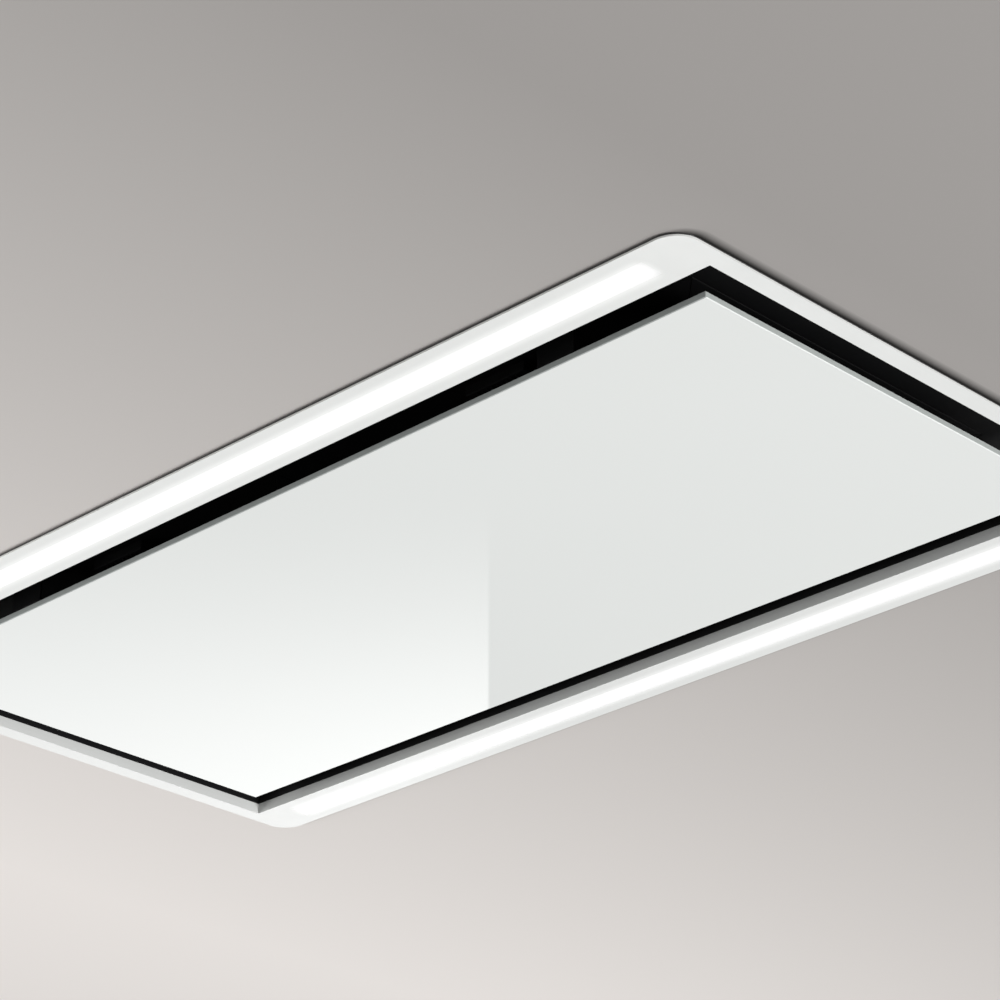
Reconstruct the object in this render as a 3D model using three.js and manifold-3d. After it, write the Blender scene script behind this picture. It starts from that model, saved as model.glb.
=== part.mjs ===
// A flush ceiling range hood with edge suction, in millimetres, +Z up.
//
// The origin is the middle of the ceiling cut-out, in the plane of the finished
// ceiling: +X runs along the hood, +Y towards its duct outlet. The white frame, its
// two lit strips and the glass panel show below the ceiling. Air goes up through the
// slot round the panel, through two grease filters in the black deck above it, into
// the fan, and out through a flat duct at the back.

import * as THREE from 'three';
import { mergeVertices } from 'three/addons/utils/BufferGeometryUtils.js';
import Module from 'manifold-3d';

const wasm = await Module();
wasm.setup();

// ---------------------------------------------------------------------------
// Driving dimensions
// ---------------------------------------------------------------------------

// White frame that shows on the ceiling
const HOOD_LENGTH = 1000;
const HOOD_WIDTH = 565;
const FRAME_CORNER_RADIUS = 20;
const FRAME_SHEET = 1.6;
const RECESS_WALL_HEIGHT = 9.7;
const FRAME_LIP = 8.4;
const GASKET_THICKNESS = 1.6;
const GASKET_INSET = 1.2;

// Clearances
const FIT_GAP = 0.3;
const CUTOUT_OVERLAP = 7.5;
const CASING_CLEARANCE = 2;
const LIGHT_CLEARANCE = 1;
const LIP_CLEARANCE = 1.7;
const END_CLEARANCE = 3.2;

// Lit strips
const DIFFUSER_WIDTH = 20;
const DIFFUSER_LIP = 1.3;
const DIFFUSER_LIP_THICKNESS = 1.2;
const CHANNEL_WALL = 1.2;
const CHANNEL_HEIGHT = 13;
const CHANNEL_END_MARGIN = 6;
const LIGHT_BOARD_INSET = 1;
const LIGHT_BOARD_THICKNESS = 1.2;

// Glass panel and the tray that carries it
const SLOT_WIDTH = 29.5;
const GLASS_THICKNESS = 5.3;
const GLASS_CORNER_RADIUS = 1;
const TRAY_SHEET = 1;
const TRAY_SETBACK = 14;
const TRAY_RIM_HEIGHT = 9;

// Panel hinges
const HINGE_SPACING = 600;
const HINGE_INSET = 10;
const HINGE_RISE = 20;
const HINGE_PIN_RADIUS = 3;
const HINGE_EYE_RADIUS = 6;
const HINGE_ARM_THICKNESS = 6;
const HINGE_ARM_FOOT = 24;
const HINGE_GUSSET = 12;
const HINGE_CHEEK_THICKNESS = 2.5;
const HINGE_CHEEK_RADIUS = 7;
const HINGE_FOOT_MARGIN = 9;
const HINGE_PLATE = 2;
const PIN_HEAD_RADIUS = 4.5;
const PIN_HEAD_THICKNESS = 1.5;

// Magnet catches on the opening edge of the panel
const CATCH_SPACING = 600;
const CATCH_INSET = 24;
const KEEPER_THICKNESS = 2;
const KEEPER_LENGTH = 44;
const MAGNET_WIDTH = 14;
const MAGNET_LENGTH = 36;
const MAGNET_HEIGHT = 9;
const CATCH_PLATE = 2;
const CATCH_FOOT = 16;

// Black deck above the panel
const DECK_RISE = 46;
const DECK_SHEET = 1.2;
const DECK_RIM_HEIGHT = 10;

// Grease filters
const FILTER_THICKNESS = 10;
const FILTER_BAR = 22;
const FILTER_SKIN = 1;
const FILTER_SIDE_MARGIN = 12;
const FILTER_DIVIDER = 40;
const FILTER_END_MARGIN = 74;
const TONGUE_REACH = 5;
const TONGUE_LENGTH = 30;
const TONGUE_THICKNESS = 1.6;
const LATCH_TRAVEL = 6.5;
const LATCH_LENGTH = 60;
const LATCH_DEPTH = 14;
const LATCH_HEIGHT = 8;
const LATCH_NECK_LENGTH = 14;
const LATCH_NECK_DEPTH = 5;
const LATCH_BOLT_LENGTH = 22;
const LATCH_BOLT_THICKNESS = 3;

// Casing above the ceiling
const CASING_RISE = 200;
const CASING_SHEET = 1.2;
const CASING_TOP_LIP = 14;

// Beads pressed up in the casing's top: straight ones across it, a ring round the fan
const BEAD_WIDTH = 20;
const BEAD_CREST = 8;
const BEAD_RISE = 3;
const BEAD_PITCH = 60;
const BEAD_END_MARGIN = 82;
const BEAD_SIDE_MARGIN = 83;
const BEAD_BOX_CLEARANCE = 40;
const BEAD_RING_CLEARANCE = 36;
const BEAD_RING_RADIUS = 132;

// Flat duct outlet
const SPIGOT_WIDTH = 218;
const SPIGOT_HEIGHT = 88;
const SPIGOT_LENGTH = 60;
const SPIGOT_RIM = 14;
const DUCT_WALL = 2;
const DUCT_SLEEVE = 12;
const FLAP_CHAMBER = 46;

// Non-return flap in the outlet
const FLAP_THICKNESS = 1.2;
const FLAP_EDGE_CLEARANCE = 1;
const FLAP_PIVOT_DROP = 7;
const FLAP_PIVOT_SETBACK = 32;
const FLAP_PIN_RADIUS = 1.5;
const FLAP_SLEEVE_RADIUS = 3.6;
const FLAP_STOP = 3;

// Fan
const BLOWER_Y = -40;
const HANGER_HEIGHT = 24;
const HANGER_RADIUS = 9;
const HANGER_CIRCLE_RADIUS = 92;
const VOLUTE_WALL = 2;
const VOLUTE_BASE_RADIUS = 113;
const VOLUTE_GROWTH = 66;
const VOLUTE_TONGUE_ANGLE = THREE.MathUtils.degToRad(50);
const VOLUTE_MOUTH_RUN = 130;
const IMPELLER_RADIUS = 105;
const IMPELLER_CLEARANCE = 4;
const IMPELLER_PLATE = 2;
const BLADE_COUNT = 32;
const BLADE_DEPTH = 18;
const BLADE_THICKNESS = 1.6;
const BLADE_SWEEP = THREE.MathUtils.degToRad(9);
const INLET_RADIUS = 78;
const INLET_FLARE = 10;
const INLET_THICKNESS = 2;

// Motor
const ROTOR_RADIUS = 50;
const ROTOR_WALL = 4;
const ROTOR_HEIGHT = 42;
const AIR_GAP = 1;
const SHAFT_RADIUS = 4;
const BEARING_RADIUS = 9;
const BEARING_WIDTH = 7;
const MOTOR_PLATE_RADIUS = 70;
const MOTOR_PLATE_THICKNESS = 2;
const MOTOR_HOLE_MARGIN = 6;

// Control box and light supply
const CONTROL_BOX_LENGTH = 190;
const CONTROL_BOX_WIDTH = 120;
const CONTROL_BOX_HEIGHT = 38;
const CONTROL_BOX_WALL = 2;
const CONTROL_BOX_END_MARGIN = 125.5;
const CONTROL_BOX_SIDE_MARGIN = 123;
const CONTROL_LID_THICKNESS = 2;
const BOARD_MARGIN = 9;
const BOARD_THICKNESS = 1.6;
const BOARD_STANDOFF = 6;
const STANDOFF_RADIUS = 3.5;
const TERMINAL_LENGTH = 60;
const TERMINAL_DEPTH = 13;
const TERMINAL_HEIGHT = 14;
const GLAND_BORE_RADIUS = 4.5;
const GLAND_THREAD_RADIUS = 7.5;
const GLAND_NUT_RADIUS = 11.5;
const GLAND_LENGTH = 26;
const GLAND_NUT_LENGTH = 6;
const DRIVER_LENGTH = 170;
const DRIVER_WIDTH = 46;
const DRIVER_HEIGHT = 28;
const DRIVER_CORNER_RADIUS = 4;

// Suspension brackets on the casing's top
const BRACKET_WIDTH = 46;
const BRACKET_FOOT = 30;
const BRACKET_RISER = 30;
const BRACKET_ARM = 34;
const BRACKET_SHEET = 2.5;
const BRACKET_EDGE_MARGIN = 4;
const ROD_SLOT_WIDTH = 9;
const ROD_SLOT_LENGTH = 22;

// ---------------------------------------------------------------------------
// Levels and half-lengths that follow from them
// ---------------------------------------------------------------------------

const frameBack = -(GASKET_THICKNESS + FIT_GAP);
const frameFace = frameBack - FRAME_SHEET;
const recessTop = frameFace + RECESS_WALL_HEIGHT;

const cutoutHalfX = HOOD_LENGTH / 2 - CUTOUT_OVERLAP;
const cutoutHalfY = HOOD_WIDTH / 2 - CUTOUT_OVERLAP;
const casingOuterX = cutoutHalfX - CASING_CLEARANCE;
const casingOuterY = cutoutHalfY - CASING_CLEARANCE;
const casingInnerX = casingOuterX - CASING_SHEET;
const casingInnerY = casingOuterY - CASING_SHEET;
const casingBottom = frameBack + FIT_GAP;
const casingTopUnder = CASING_RISE - CASING_SHEET;

const diffuserHalfY = DIFFUSER_WIDTH / 2;
const channelInnerHalfY = diffuserHalfY + DIFFUSER_LIP + FIT_GAP;
const channelHalfY = channelInnerHalfY + CHANNEL_WALL;
const lightY = casingInnerY - LIGHT_CLEARANCE - channelHalfY;

const openingHalfX = casingInnerX - END_CLEARANCE - FRAME_SHEET;
const openingHalfY = lightY - channelHalfY - LIP_CLEARANCE - FRAME_LIP - FRAME_SHEET;
const glassHalfX = openingHalfX - SLOT_WIDTH;
const glassHalfY = openingHalfY - SLOT_WIDTH;
const glassTop = frameFace + GLASS_THICKNESS;
const trayBottom = glassTop + FIT_GAP;
const trayTop = trayBottom + TRAY_SHEET;
const trayHalfX = glassHalfX - TRAY_SETBACK;
const trayHalfY = glassHalfY - TRAY_SETBACK;

const pivotY = glassHalfY - HINGE_INSET;
const pivotZ = glassTop + HINGE_RISE;
const catchY = -(glassHalfY - CATCH_INSET);

const deckTop = DECK_RISE + DECK_SHEET;
const deckHalfX = casingInnerX - FIT_GAP;
const deckHalfY = casingInnerY - FIT_GAP;

const filterHalfX = (openingHalfX - FILTER_END_MARGIN - FILTER_DIVIDER / 2) / 2;
const filterCentreX = FILTER_DIVIDER / 2 + filterHalfX;
const filterHalfY = pivotY - HINGE_CHEEK_RADIUS - HINGE_FOOT_MARGIN - FILTER_SIDE_MARGIN;

const spigotInnerHalfX = SPIGOT_WIDTH / 2 - DUCT_WALL;
const spigotInnerHalfZ = SPIGOT_HEIGHT / 2 - DUCT_WALL;
const voluteHeight = 2 * (spigotInnerHalfZ - FIT_GAP);
const voluteTop = casingTopUnder - 2 * FIT_GAP - HANGER_HEIGHT;
const voluteBottom = voluteTop - voluteHeight;
const outletZ = voluteTop - voluteHeight / 2;
const tongueX = VOLUTE_BASE_RADIUS * Math.cos(VOLUTE_TONGUE_ANGLE);
const voluteEndRadius = VOLUTE_BASE_RADIUS + VOLUTE_GROWTH;
const blowerX = -(tongueX + voluteEndRadius) / 2;

const controlBoxX = casingOuterX - CONTROL_BOX_END_MARGIN - CONTROL_BOX_LENGTH / 2;
const controlBoxY = -(casingOuterY - CONTROL_BOX_SIDE_MARGIN - CONTROL_BOX_WIDTH / 2);

// ---------------------------------------------------------------------------
// Shape helpers
// ---------------------------------------------------------------------------

function rectangle(halfX, halfY, x = 0, y = 0) {
  const shape = new THREE.Shape();
  shape.moveTo(x - halfX, y - halfY);
  shape.lineTo(x + halfX, y - halfY);
  shape.lineTo(x + halfX, y + halfY);
  shape.lineTo(x - halfX, y + halfY);
  shape.closePath();
  return shape;
}

function roundedRectangle(halfX, halfY, radius, x = 0, y = 0) {
  const shape = new THREE.Shape();
  shape.moveTo(x - halfX + radius, y - halfY);
  shape.absarc(x + halfX - radius, y - halfY + radius, radius, -Math.PI / 2, 0);
  shape.absarc(x + halfX - radius, y + halfY - radius, radius, 0, Math.PI / 2);
  shape.absarc(x - halfX + radius, y + halfY - radius, radius, Math.PI / 2, Math.PI);
  shape.absarc(x - halfX + radius, y - halfY + radius, radius, Math.PI, 1.5 * Math.PI);
  return shape;
}

function circle(radius, x = 0, y = 0) {
  const shape = new THREE.Shape();
  shape.absarc(x, y, radius, 0, 2 * Math.PI);
  return shape;
}

function polygon(points) {
  return new THREE.Shape(points.map(([x, y]) => new THREE.Vector2(x, y)));
}

function withHoles(shape, ...holes) {
  shape.holes.push(...holes);
  return shape;
}

// An outline drawn in plan, raised from one level to another.
function raise(shape, bottom, top, curveSegments = 8) {
  const geometry = new THREE.ExtrudeGeometry(shape, {
    depth: top - bottom,
    bevelEnabled: false,
    curveSegments,
  });
  return geometry.translate(0, 0, bottom);
}

// An outline drawn in Y and Z, run along X.
function runAlongX(shape, from, to, curveSegments = 8) {
  const turn = new THREE.Matrix4().makeBasis(
    new THREE.Vector3(0, 1, 0),
    new THREE.Vector3(0, 0, 1),
    new THREE.Vector3(1, 0, 0),
  );
  return raise(shape, from, to, curveSegments).applyMatrix4(turn);
}

function box(lowX, highX, lowY, highY, lowZ, highZ) {
  const geometry = new THREE.BoxGeometry(highX - lowX, highY - lowY, highZ - lowZ);
  return geometry.translate((lowX + highX) / 2, (lowY + highY) / 2, (lowZ + highZ) / 2);
}

// A closed profile of [radius, height] points, turned about Z.
function turned(profile, segments = 32) {
  const points = [...profile, profile[0]].map(([radius, z]) => new THREE.Vector2(radius, z));
  return new THREE.LatheGeometry(points, segments).rotateX(Math.PI / 2);
}

function toSolid(geometry) {
  const bare = geometry.clone();
  bare.deleteAttribute('normal');
  bare.deleteAttribute('uv');
  const merged = mergeVertices(bare, 1e-4);
  return new wasm.Manifold(new wasm.Mesh({
    numProp: 3,
    vertProperties: new Float32Array(merged.attributes.position.array),
    triVerts: new Uint32Array(merged.index.array),
  }));
}

function toGeometry(solid) {
  const mesh = solid.getMesh();
  const geometry = new THREE.BufferGeometry();
  geometry.setAttribute('position', new THREE.BufferAttribute(mesh.vertProperties, 3));
  geometry.setIndex(new THREE.BufferAttribute(mesh.triVerts, 1));
  geometry.computeVertexNormals();
  return geometry;
}

function join(...geometries) {
  const solids = geometries.map(toSolid);
  return toGeometry(solids.reduce((whole, next) => whole.add(next)));
}

function cut(geometry, ...tools) {
  const solids = tools.map(toSolid);
  return toGeometry(solids.reduce((rest, tool) => rest.subtract(tool), toSolid(geometry)));
}

// A flat plate with several openings right through it.
function piercedPlate(shape, bottom, top, openings) {
  const tools = openings.map((opening) => raise(opening, bottom - 1, top + 1));
  return cut(raise(shape, bottom, top), ...tools);
}

// ---------------------------------------------------------------------------
// Finishes
// ---------------------------------------------------------------------------

const FINISHES = {
  whitePaint: { color: 0xe9eae8, roughness: 0.42, metalness: 0 },
  whiteGlass: { color: 0xe4e7e4, roughness: 0.06, metalness: 0 },
  opal: { color: 0xffffff, roughness: 0.5, metalness: 0 },
  blackSheet: { color: 0x0c0c0d, roughness: 0.6, metalness: 0.1 },
  foam: { color: 0x1a1a1b, roughness: 0.95, metalness: 0 },
  galvanised: { color: 0xb4b8ba, roughness: 0.45, metalness: 0.85 },
  aluminium: { color: 0xc6c8ca, roughness: 0.35, metalness: 0.9 },
  steel: { color: 0x9fa3a6, roughness: 0.35, metalness: 0.9 },
  magnet: { color: 0x4a4c50, roughness: 0.4, metalness: 0.6 },
  blackPlastic: { color: 0x1f2022, roughness: 0.55, metalness: 0 },
  greyPlastic: { color: 0xb9bbbd, roughness: 0.5, metalness: 0 },
  whitePlastic: { color: 0xe6e6e3, roughness: 0.45, metalness: 0 },
  rubber: { color: 0x232324, roughness: 0.9, metalness: 0 },
  circuit: { color: 0x1c5a35, roughness: 0.5, metalness: 0 },
};

function addPiece(parent, name, geometry, finish) {
  const piece = new THREE.Mesh(geometry, new THREE.MeshStandardMaterial(finish));
  piece.name = name;
  parent.add(piece);
  return piece;
}

const sides = [
  { label: 'left', sign: -1 },
  { label: 'right', sign: 1 },
];
const strips = [
  { label: 'near', sign: -1 },
  { label: 'far', sign: 1 },
];

// ---------------------------------------------------------------------------
// Frame: pressed white sheet with a return wall inside and a slot for each light
// ---------------------------------------------------------------------------

function frameGeometry() {
  const lightSlots = strips.map(({ sign }) => rectangle(
    glassHalfX + FIT_GAP,
    diffuserHalfY + FIT_GAP,
    0,
    sign * lightY,
  ));
  const face = piercedPlate(
    roundedRectangle(HOOD_LENGTH / 2, HOOD_WIDTH / 2, FRAME_CORNER_RADIUS),
    frameFace,
    frameBack,
    [rectangle(openingHalfX, openingHalfY), ...lightSlots],
  );
  const wall = withHoles(
    rectangle(openingHalfX + FRAME_SHEET, openingHalfY + FRAME_SHEET),
    rectangle(openingHalfX, openingHalfY),
  );
  const lips = strips.map(({ sign }) => raise(
    rectangle(openingHalfX, (FRAME_SHEET + FRAME_LIP) / 2, 0,
      sign * (openingHalfY + (FRAME_SHEET + FRAME_LIP) / 2)),
    recessTop - FRAME_SHEET,
    recessTop,
  ));
  return join(face, raise(wall, frameFace, recessTop), ...lips);
}

function gasketGeometry() {
  const outer = roundedRectangle(
    HOOD_LENGTH / 2 - GASKET_INSET,
    HOOD_WIDTH / 2 - GASKET_INSET,
    FRAME_CORNER_RADIUS - GASKET_INSET,
  );
  return raise(withHoles(outer, rectangle(cutoutHalfX, cutoutHalfY)), -GASKET_THICKNESS, 0);
}

// ---------------------------------------------------------------------------
// Light: a channel on the frame's back, a board under its roof, an opal diffuser
// ---------------------------------------------------------------------------

const channelBottom = frameBack + FIT_GAP;
const channelRoof = channelBottom + CHANNEL_HEIGHT - CHANNEL_WALL;
const channelHalfX = glassHalfX + CHANNEL_END_MARGIN;

function channelGeometry() {
  const outline = polygon([
    [-channelHalfY, channelBottom],
    [-channelInnerHalfY, channelBottom],
    [-channelInnerHalfY, channelRoof],
    [channelInnerHalfY, channelRoof],
    [channelInnerHalfY, channelBottom],
    [channelHalfY, channelBottom],
    [channelHalfY, channelRoof + CHANNEL_WALL],
    [-channelHalfY, channelRoof + CHANNEL_WALL],
  ]);
  return runAlongX(outline, -channelHalfX, channelHalfX);
}

function diffuserGeometry() {
  const lipHalfY = diffuserHalfY + DIFFUSER_LIP;
  const lipBottom = frameBack + FIT_GAP;
  const lens = raise(rectangle(glassHalfX, diffuserHalfY), frameFace, lipBottom);
  const lip = raise(
    rectangle(glassHalfX + DIFFUSER_LIP, lipHalfY),
    lipBottom,
    lipBottom + DIFFUSER_LIP_THICKNESS,
  );
  return join(lens, lip);
}

function lightBoardGeometry() {
  const top = channelRoof - FIT_GAP;
  return raise(
    rectangle(glassHalfX, diffuserHalfY - LIGHT_BOARD_INSET),
    top - LIGHT_BOARD_THICKNESS,
    top,
  );
}

function addLight(hood, { label, sign }) {
  const light = new THREE.Group();
  light.position.y = sign * lightY;
  addPiece(light, `light_channel_${label}`, channelGeometry(), FINISHES.aluminium);
  addPiece(light, `light_board_${label}`, lightBoardGeometry(), FINISHES.whitePlastic);
  addPiece(light, `light_diffuser_${label}`, diffuserGeometry(), FINISHES.opal);
  hood.add(light);
}

// ---------------------------------------------------------------------------
// Panel: white glass bonded to a folded black tray, hinged along its far edge
// ---------------------------------------------------------------------------

function glassGeometry() {
  return raise(
    roundedRectangle(glassHalfX, glassHalfY, GLASS_CORNER_RADIUS),
    frameFace,
    glassTop,
    2,
  );
}

function trayGeometry() {
  const rimTop = trayTop + TRAY_RIM_HEIGHT;
  return cut(
    raise(rectangle(trayHalfX, trayHalfY), trayBottom, rimTop),
    raise(rectangle(trayHalfX - TRAY_SHEET, trayHalfY - TRAY_SHEET), trayTop, rimTop + 1),
  );
}

// The moving arm stands on the tray and its eye turns on the pin, which is the
// local origin here: Y towards the panel's edge, Z up.
function hingeArmGeometry() {
  const footBottom = trayTop + FIT_GAP - pivotZ;
  const footTop = footBottom + HINGE_PLATE;
  const stem = new THREE.Shape();
  stem.moveTo(-HINGE_EYE_RADIUS - HINGE_GUSSET, footBottom);
  stem.lineTo(0, footBottom);
  stem.lineTo(HINGE_EYE_RADIUS, 0);
  stem.absarc(0, 0, HINGE_EYE_RADIUS, 0, Math.PI);
  stem.closePath();
  withHoles(stem, circle(HINGE_PIN_RADIUS + FIT_GAP));
  const halfX = HINGE_ARM_THICKNESS / 2;
  const footReach = TRAY_SETBACK - HINGE_INSET + TRAY_SHEET + FIT_GAP;
  const foot = box(
    -HINGE_ARM_FOOT / 2,
    HINGE_ARM_FOOT / 2,
    -HINGE_ARM_FOOT - footReach,
    -footReach,
    footBottom,
    footTop,
  );
  return join(cut(runAlongX(stem, -halfX, halfX), box(
    -halfX - 1,
    halfX + 1,
    -footReach,
    HINGE_EYE_RADIUS + 1,
    footBottom - 1,
    trayTop + TRAY_RIM_HEIGHT + FIT_GAP - pivotZ,
  )), foot);
}

// The fixed bracket hangs from the deck: two cheeks, a web behind them and a foot.
const cheekInner = HINGE_ARM_THICKNESS / 2 + FIT_GAP;
const cheekOuter = cheekInner + HINGE_CHEEK_THICKNESS;
const bracketFootTop = DECK_RISE - FIT_GAP;

function hingeBracketGeometry() {
  const top = bracketFootTop - pivotZ;
  const footHalfY = HINGE_CHEEK_RADIUS + HINGE_FOOT_MARGIN;
  const cheek = new THREE.Shape();
  cheek.moveTo(HINGE_CHEEK_RADIUS, top);
  cheek.lineTo(-HINGE_CHEEK_RADIUS, top);
  cheek.lineTo(-HINGE_CHEEK_RADIUS, 0);
  cheek.absarc(0, 0, HINGE_CHEEK_RADIUS, Math.PI, 2 * Math.PI);
  cheek.closePath();
  withHoles(cheek, circle(HINGE_PIN_RADIUS + FIT_GAP));
  const web = box(
    -cheekOuter,
    cheekOuter,
    -HINGE_CHEEK_RADIUS - HINGE_PLATE,
    -HINGE_CHEEK_RADIUS,
    0,
    top,
  );
  const foot = box(
    -cheekOuter - HINGE_FOOT_MARGIN,
    cheekOuter + HINGE_FOOT_MARGIN,
    -footHalfY,
    footHalfY,
    top - HINGE_PLATE,
    top,
  );
  return join(
    runAlongX(cheek, -cheekOuter, -cheekInner),
    runAlongX(cheek, cheekInner, cheekOuter),
    web,
    foot,
  );
}

function hingePinGeometry() {
  const end = cheekOuter + FIT_GAP;
  const profile = [
    [0, -end],
    [HINGE_PIN_RADIUS, -end],
    [HINGE_PIN_RADIUS, end],
    [PIN_HEAD_RADIUS, end],
    [PIN_HEAD_RADIUS, end + PIN_HEAD_THICKNESS],
    [0, end + PIN_HEAD_THICKNESS],
  ];
  return turned(profile, 20).rotateY(Math.PI / 2);
}

function addHinge(hood, { label, sign }) {
  const hinge = new THREE.Group();
  hinge.position.set(sign * HINGE_SPACING / 2, pivotY, pivotZ);
  addPiece(hinge, `hinge_arm_${label}`, hingeArmGeometry(), FINISHES.steel);
  addPiece(hinge, `hinge_bracket_${label}`, hingeBracketGeometry(), FINISHES.blackSheet);
  addPiece(hinge, `hinge_pin_${label}`, hingePinGeometry(), FINISHES.steel);
  hood.add(hinge);
}

// ---------------------------------------------------------------------------
// Catches: a steel keeper on the tray meets a magnet on a post from the deck
// ---------------------------------------------------------------------------

const keeperBottom = trayTop + FIT_GAP;
const magnetBottom = keeperBottom + KEEPER_THICKNESS + FIT_GAP;
const magnetTop = magnetBottom + MAGNET_HEIGHT;

function catchPostGeometry() {
  const shelf = magnetTop + FIT_GAP;
  const top = DECK_RISE - FIT_GAP;
  const half = MAGNET_WIDTH / 2;
  const outline = polygon([
    [-half, shelf],
    [half, shelf],
    [half, top - CATCH_PLATE],
    [half + CATCH_FOOT, top - CATCH_PLATE],
    [half + CATCH_FOOT, top],
    [half - CATCH_PLATE, top],
    [half - CATCH_PLATE, shelf + CATCH_PLATE],
    [-half, shelf + CATCH_PLATE],
  ]);
  return runAlongX(outline, -MAGNET_LENGTH / 2, MAGNET_LENGTH / 2);
}

function addCatch(hood, { label, sign }) {
  const latch = new THREE.Group();
  latch.position.set(sign * CATCH_SPACING / 2, catchY, 0);
  const magnet = raise(rectangle(MAGNET_LENGTH / 2, MAGNET_WIDTH / 2), magnetBottom, magnetTop);
  const keeper = raise(
    rectangle(KEEPER_LENGTH / 2, MAGNET_WIDTH / 2),
    keeperBottom,
    keeperBottom + KEEPER_THICKNESS,
  );
  const post = addPiece(latch, `catch_post_${label}`, catchPostGeometry(), FINISHES.blackSheet);
  post.rotation.z = Math.PI;
  addPiece(latch, `catch_magnet_${label}`, magnet, FINISHES.magnet);
  addPiece(latch, `catch_keeper_${label}`, keeper, FINISHES.steel);
  hood.add(latch);
}

// ---------------------------------------------------------------------------
// Deck: the black box above the slot, with an opening for each grease filter
// ---------------------------------------------------------------------------

function deckGeometry() {
  const openings = sides.map(({ sign }) => rectangle(
    filterHalfX + FIT_GAP,
    filterHalfY + FIT_GAP,
    sign * filterCentreX,
    0,
  ));
  const plate = piercedPlate(rectangle(deckHalfX, deckHalfY), DECK_RISE, deckTop, openings);
  const rim = withHoles(
    rectangle(deckHalfX, deckHalfY),
    rectangle(deckHalfX - DECK_SHEET, deckHalfY - DECK_SHEET),
  );
  const wall = withHoles(
    rectangle(openingHalfX + DECK_SHEET, openingHalfY + DECK_SHEET),
    rectangle(openingHalfX, openingHalfY),
  );
  return join(
    plate,
    raise(rim, DECK_RISE, deckTop + DECK_RIM_HEIGHT),
    raise(wall, recessTop + FIT_GAP, deckTop),
  );
}

// ---------------------------------------------------------------------------
// Grease filters: an aluminium frame round a mesh pad. Two tongues hook over the
// deck at the far side, and a sprung bolt holds the near side.
// ---------------------------------------------------------------------------

const latchY = -filterHalfY + FILTER_BAR / 2;
const boltBottom = DECK_SHEET + FIT_GAP;
const boltTop = boltBottom + LATCH_BOLT_THICKNESS;
const neckHalfX = LATCH_NECK_LENGTH / 2;
const neckHalfY = LATCH_NECK_DEPTH / 2;
const boltHalfX = LATCH_BOLT_LENGTH / 2;

function filterFrameGeometry() {
  const ring = withHoles(
    rectangle(filterHalfX, filterHalfY),
    rectangle(filterHalfX - FILTER_BAR, filterHalfY - FILTER_BAR),
  );
  const tongueX = filterHalfX / 2;
  const tongues = sides.map(({ sign }) => box(
    sign * tongueX - TONGUE_LENGTH / 2,
    sign * tongueX + TONGUE_LENGTH / 2,
    filterHalfY - TONGUE_REACH,
    filterHalfY + TONGUE_REACH,
    boltBottom,
    boltBottom + TONGUE_THICKNESS,
  ));
  const boltPocket = box(
    -boltHalfX - FIT_GAP,
    boltHalfX + FIT_GAP,
    -filterHalfY - 1,
    latchY + neckHalfY + LATCH_TRAVEL + FIT_GAP,
    boltBottom - FIT_GAP,
    boltTop + FIT_GAP,
  );
  const neckSlot = box(
    -neckHalfX - FIT_GAP,
    neckHalfX + FIT_GAP,
    latchY - neckHalfY - FIT_GAP,
    latchY + neckHalfY + LATCH_TRAVEL + FIT_GAP,
    -1,
    boltBottom,
  );
  return cut(join(raise(ring, 0, FILTER_THICKNESS), ...tongues), boltPocket, neckSlot);
}

function filterMeshGeometry() {
  const inset = FILTER_BAR + FIT_GAP;
  return raise(
    rectangle(filterHalfX - inset, filterHalfY - inset),
    FILTER_SKIN,
    FILTER_THICKNESS - FILTER_SKIN,
  );
}

function latchGeometry() {
  const handle = box(
    -LATCH_LENGTH / 2,
    LATCH_LENGTH / 2,
    latchY - LATCH_DEPTH / 2,
    latchY + LATCH_DEPTH / 2,
    -LATCH_HEIGHT,
    -FIT_GAP,
  );
  const neck = box(
    -neckHalfX,
    neckHalfX,
    latchY - neckHalfY,
    latchY + neckHalfY,
    -LATCH_HEIGHT / 2,
    boltTop,
  );
  const bolt = box(
    -boltHalfX,
    boltHalfX,
    -filterHalfY - TONGUE_REACH,
    latchY + neckHalfY,
    boltBottom,
    boltTop,
  );
  return join(handle, neck, bolt);
}

function addFilter(hood, { label, sign }) {
  const filter = new THREE.Group();
  filter.position.set(sign * filterCentreX, 0, DECK_RISE);
  addPiece(filter, `filter_frame_${label}`, filterFrameGeometry(), FINISHES.blackSheet);
  addPiece(filter, `filter_mesh_${label}`, filterMeshGeometry(), FINISHES.aluminium);
  addPiece(filter, `filter_latch_${label}`, latchGeometry(), FINISHES.blackPlastic);
  hood.add(filter);
}

// ---------------------------------------------------------------------------
// Casing: galvanised walls that stand on the frame, closed by a top plate
// ---------------------------------------------------------------------------

function casingWallsGeometry() {
  const wall = withHoles(
    rectangle(casingOuterX, casingOuterY),
    rectangle(casingInnerX, casingInnerY),
  );
  const lip = withHoles(
    rectangle(casingOuterX, casingOuterY),
    rectangle(casingInnerX - CASING_TOP_LIP, casingInnerY - CASING_TOP_LIP),
  );
  const lipTop = casingTopUnder - FIT_GAP;
  const outletHole = box(
    -spigotInnerHalfX,
    spigotInnerHalfX,
    casingInnerY - 1,
    casingOuterY + 1,
    outletZ - spigotInnerHalfZ,
    outletZ + spigotInnerHalfZ,
  );
  return cut(
    join(raise(wall, casingBottom, lipTop), raise(lip, lipTop - CASING_SHEET, lipTop)),
    outletHole,
  );
}

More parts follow.
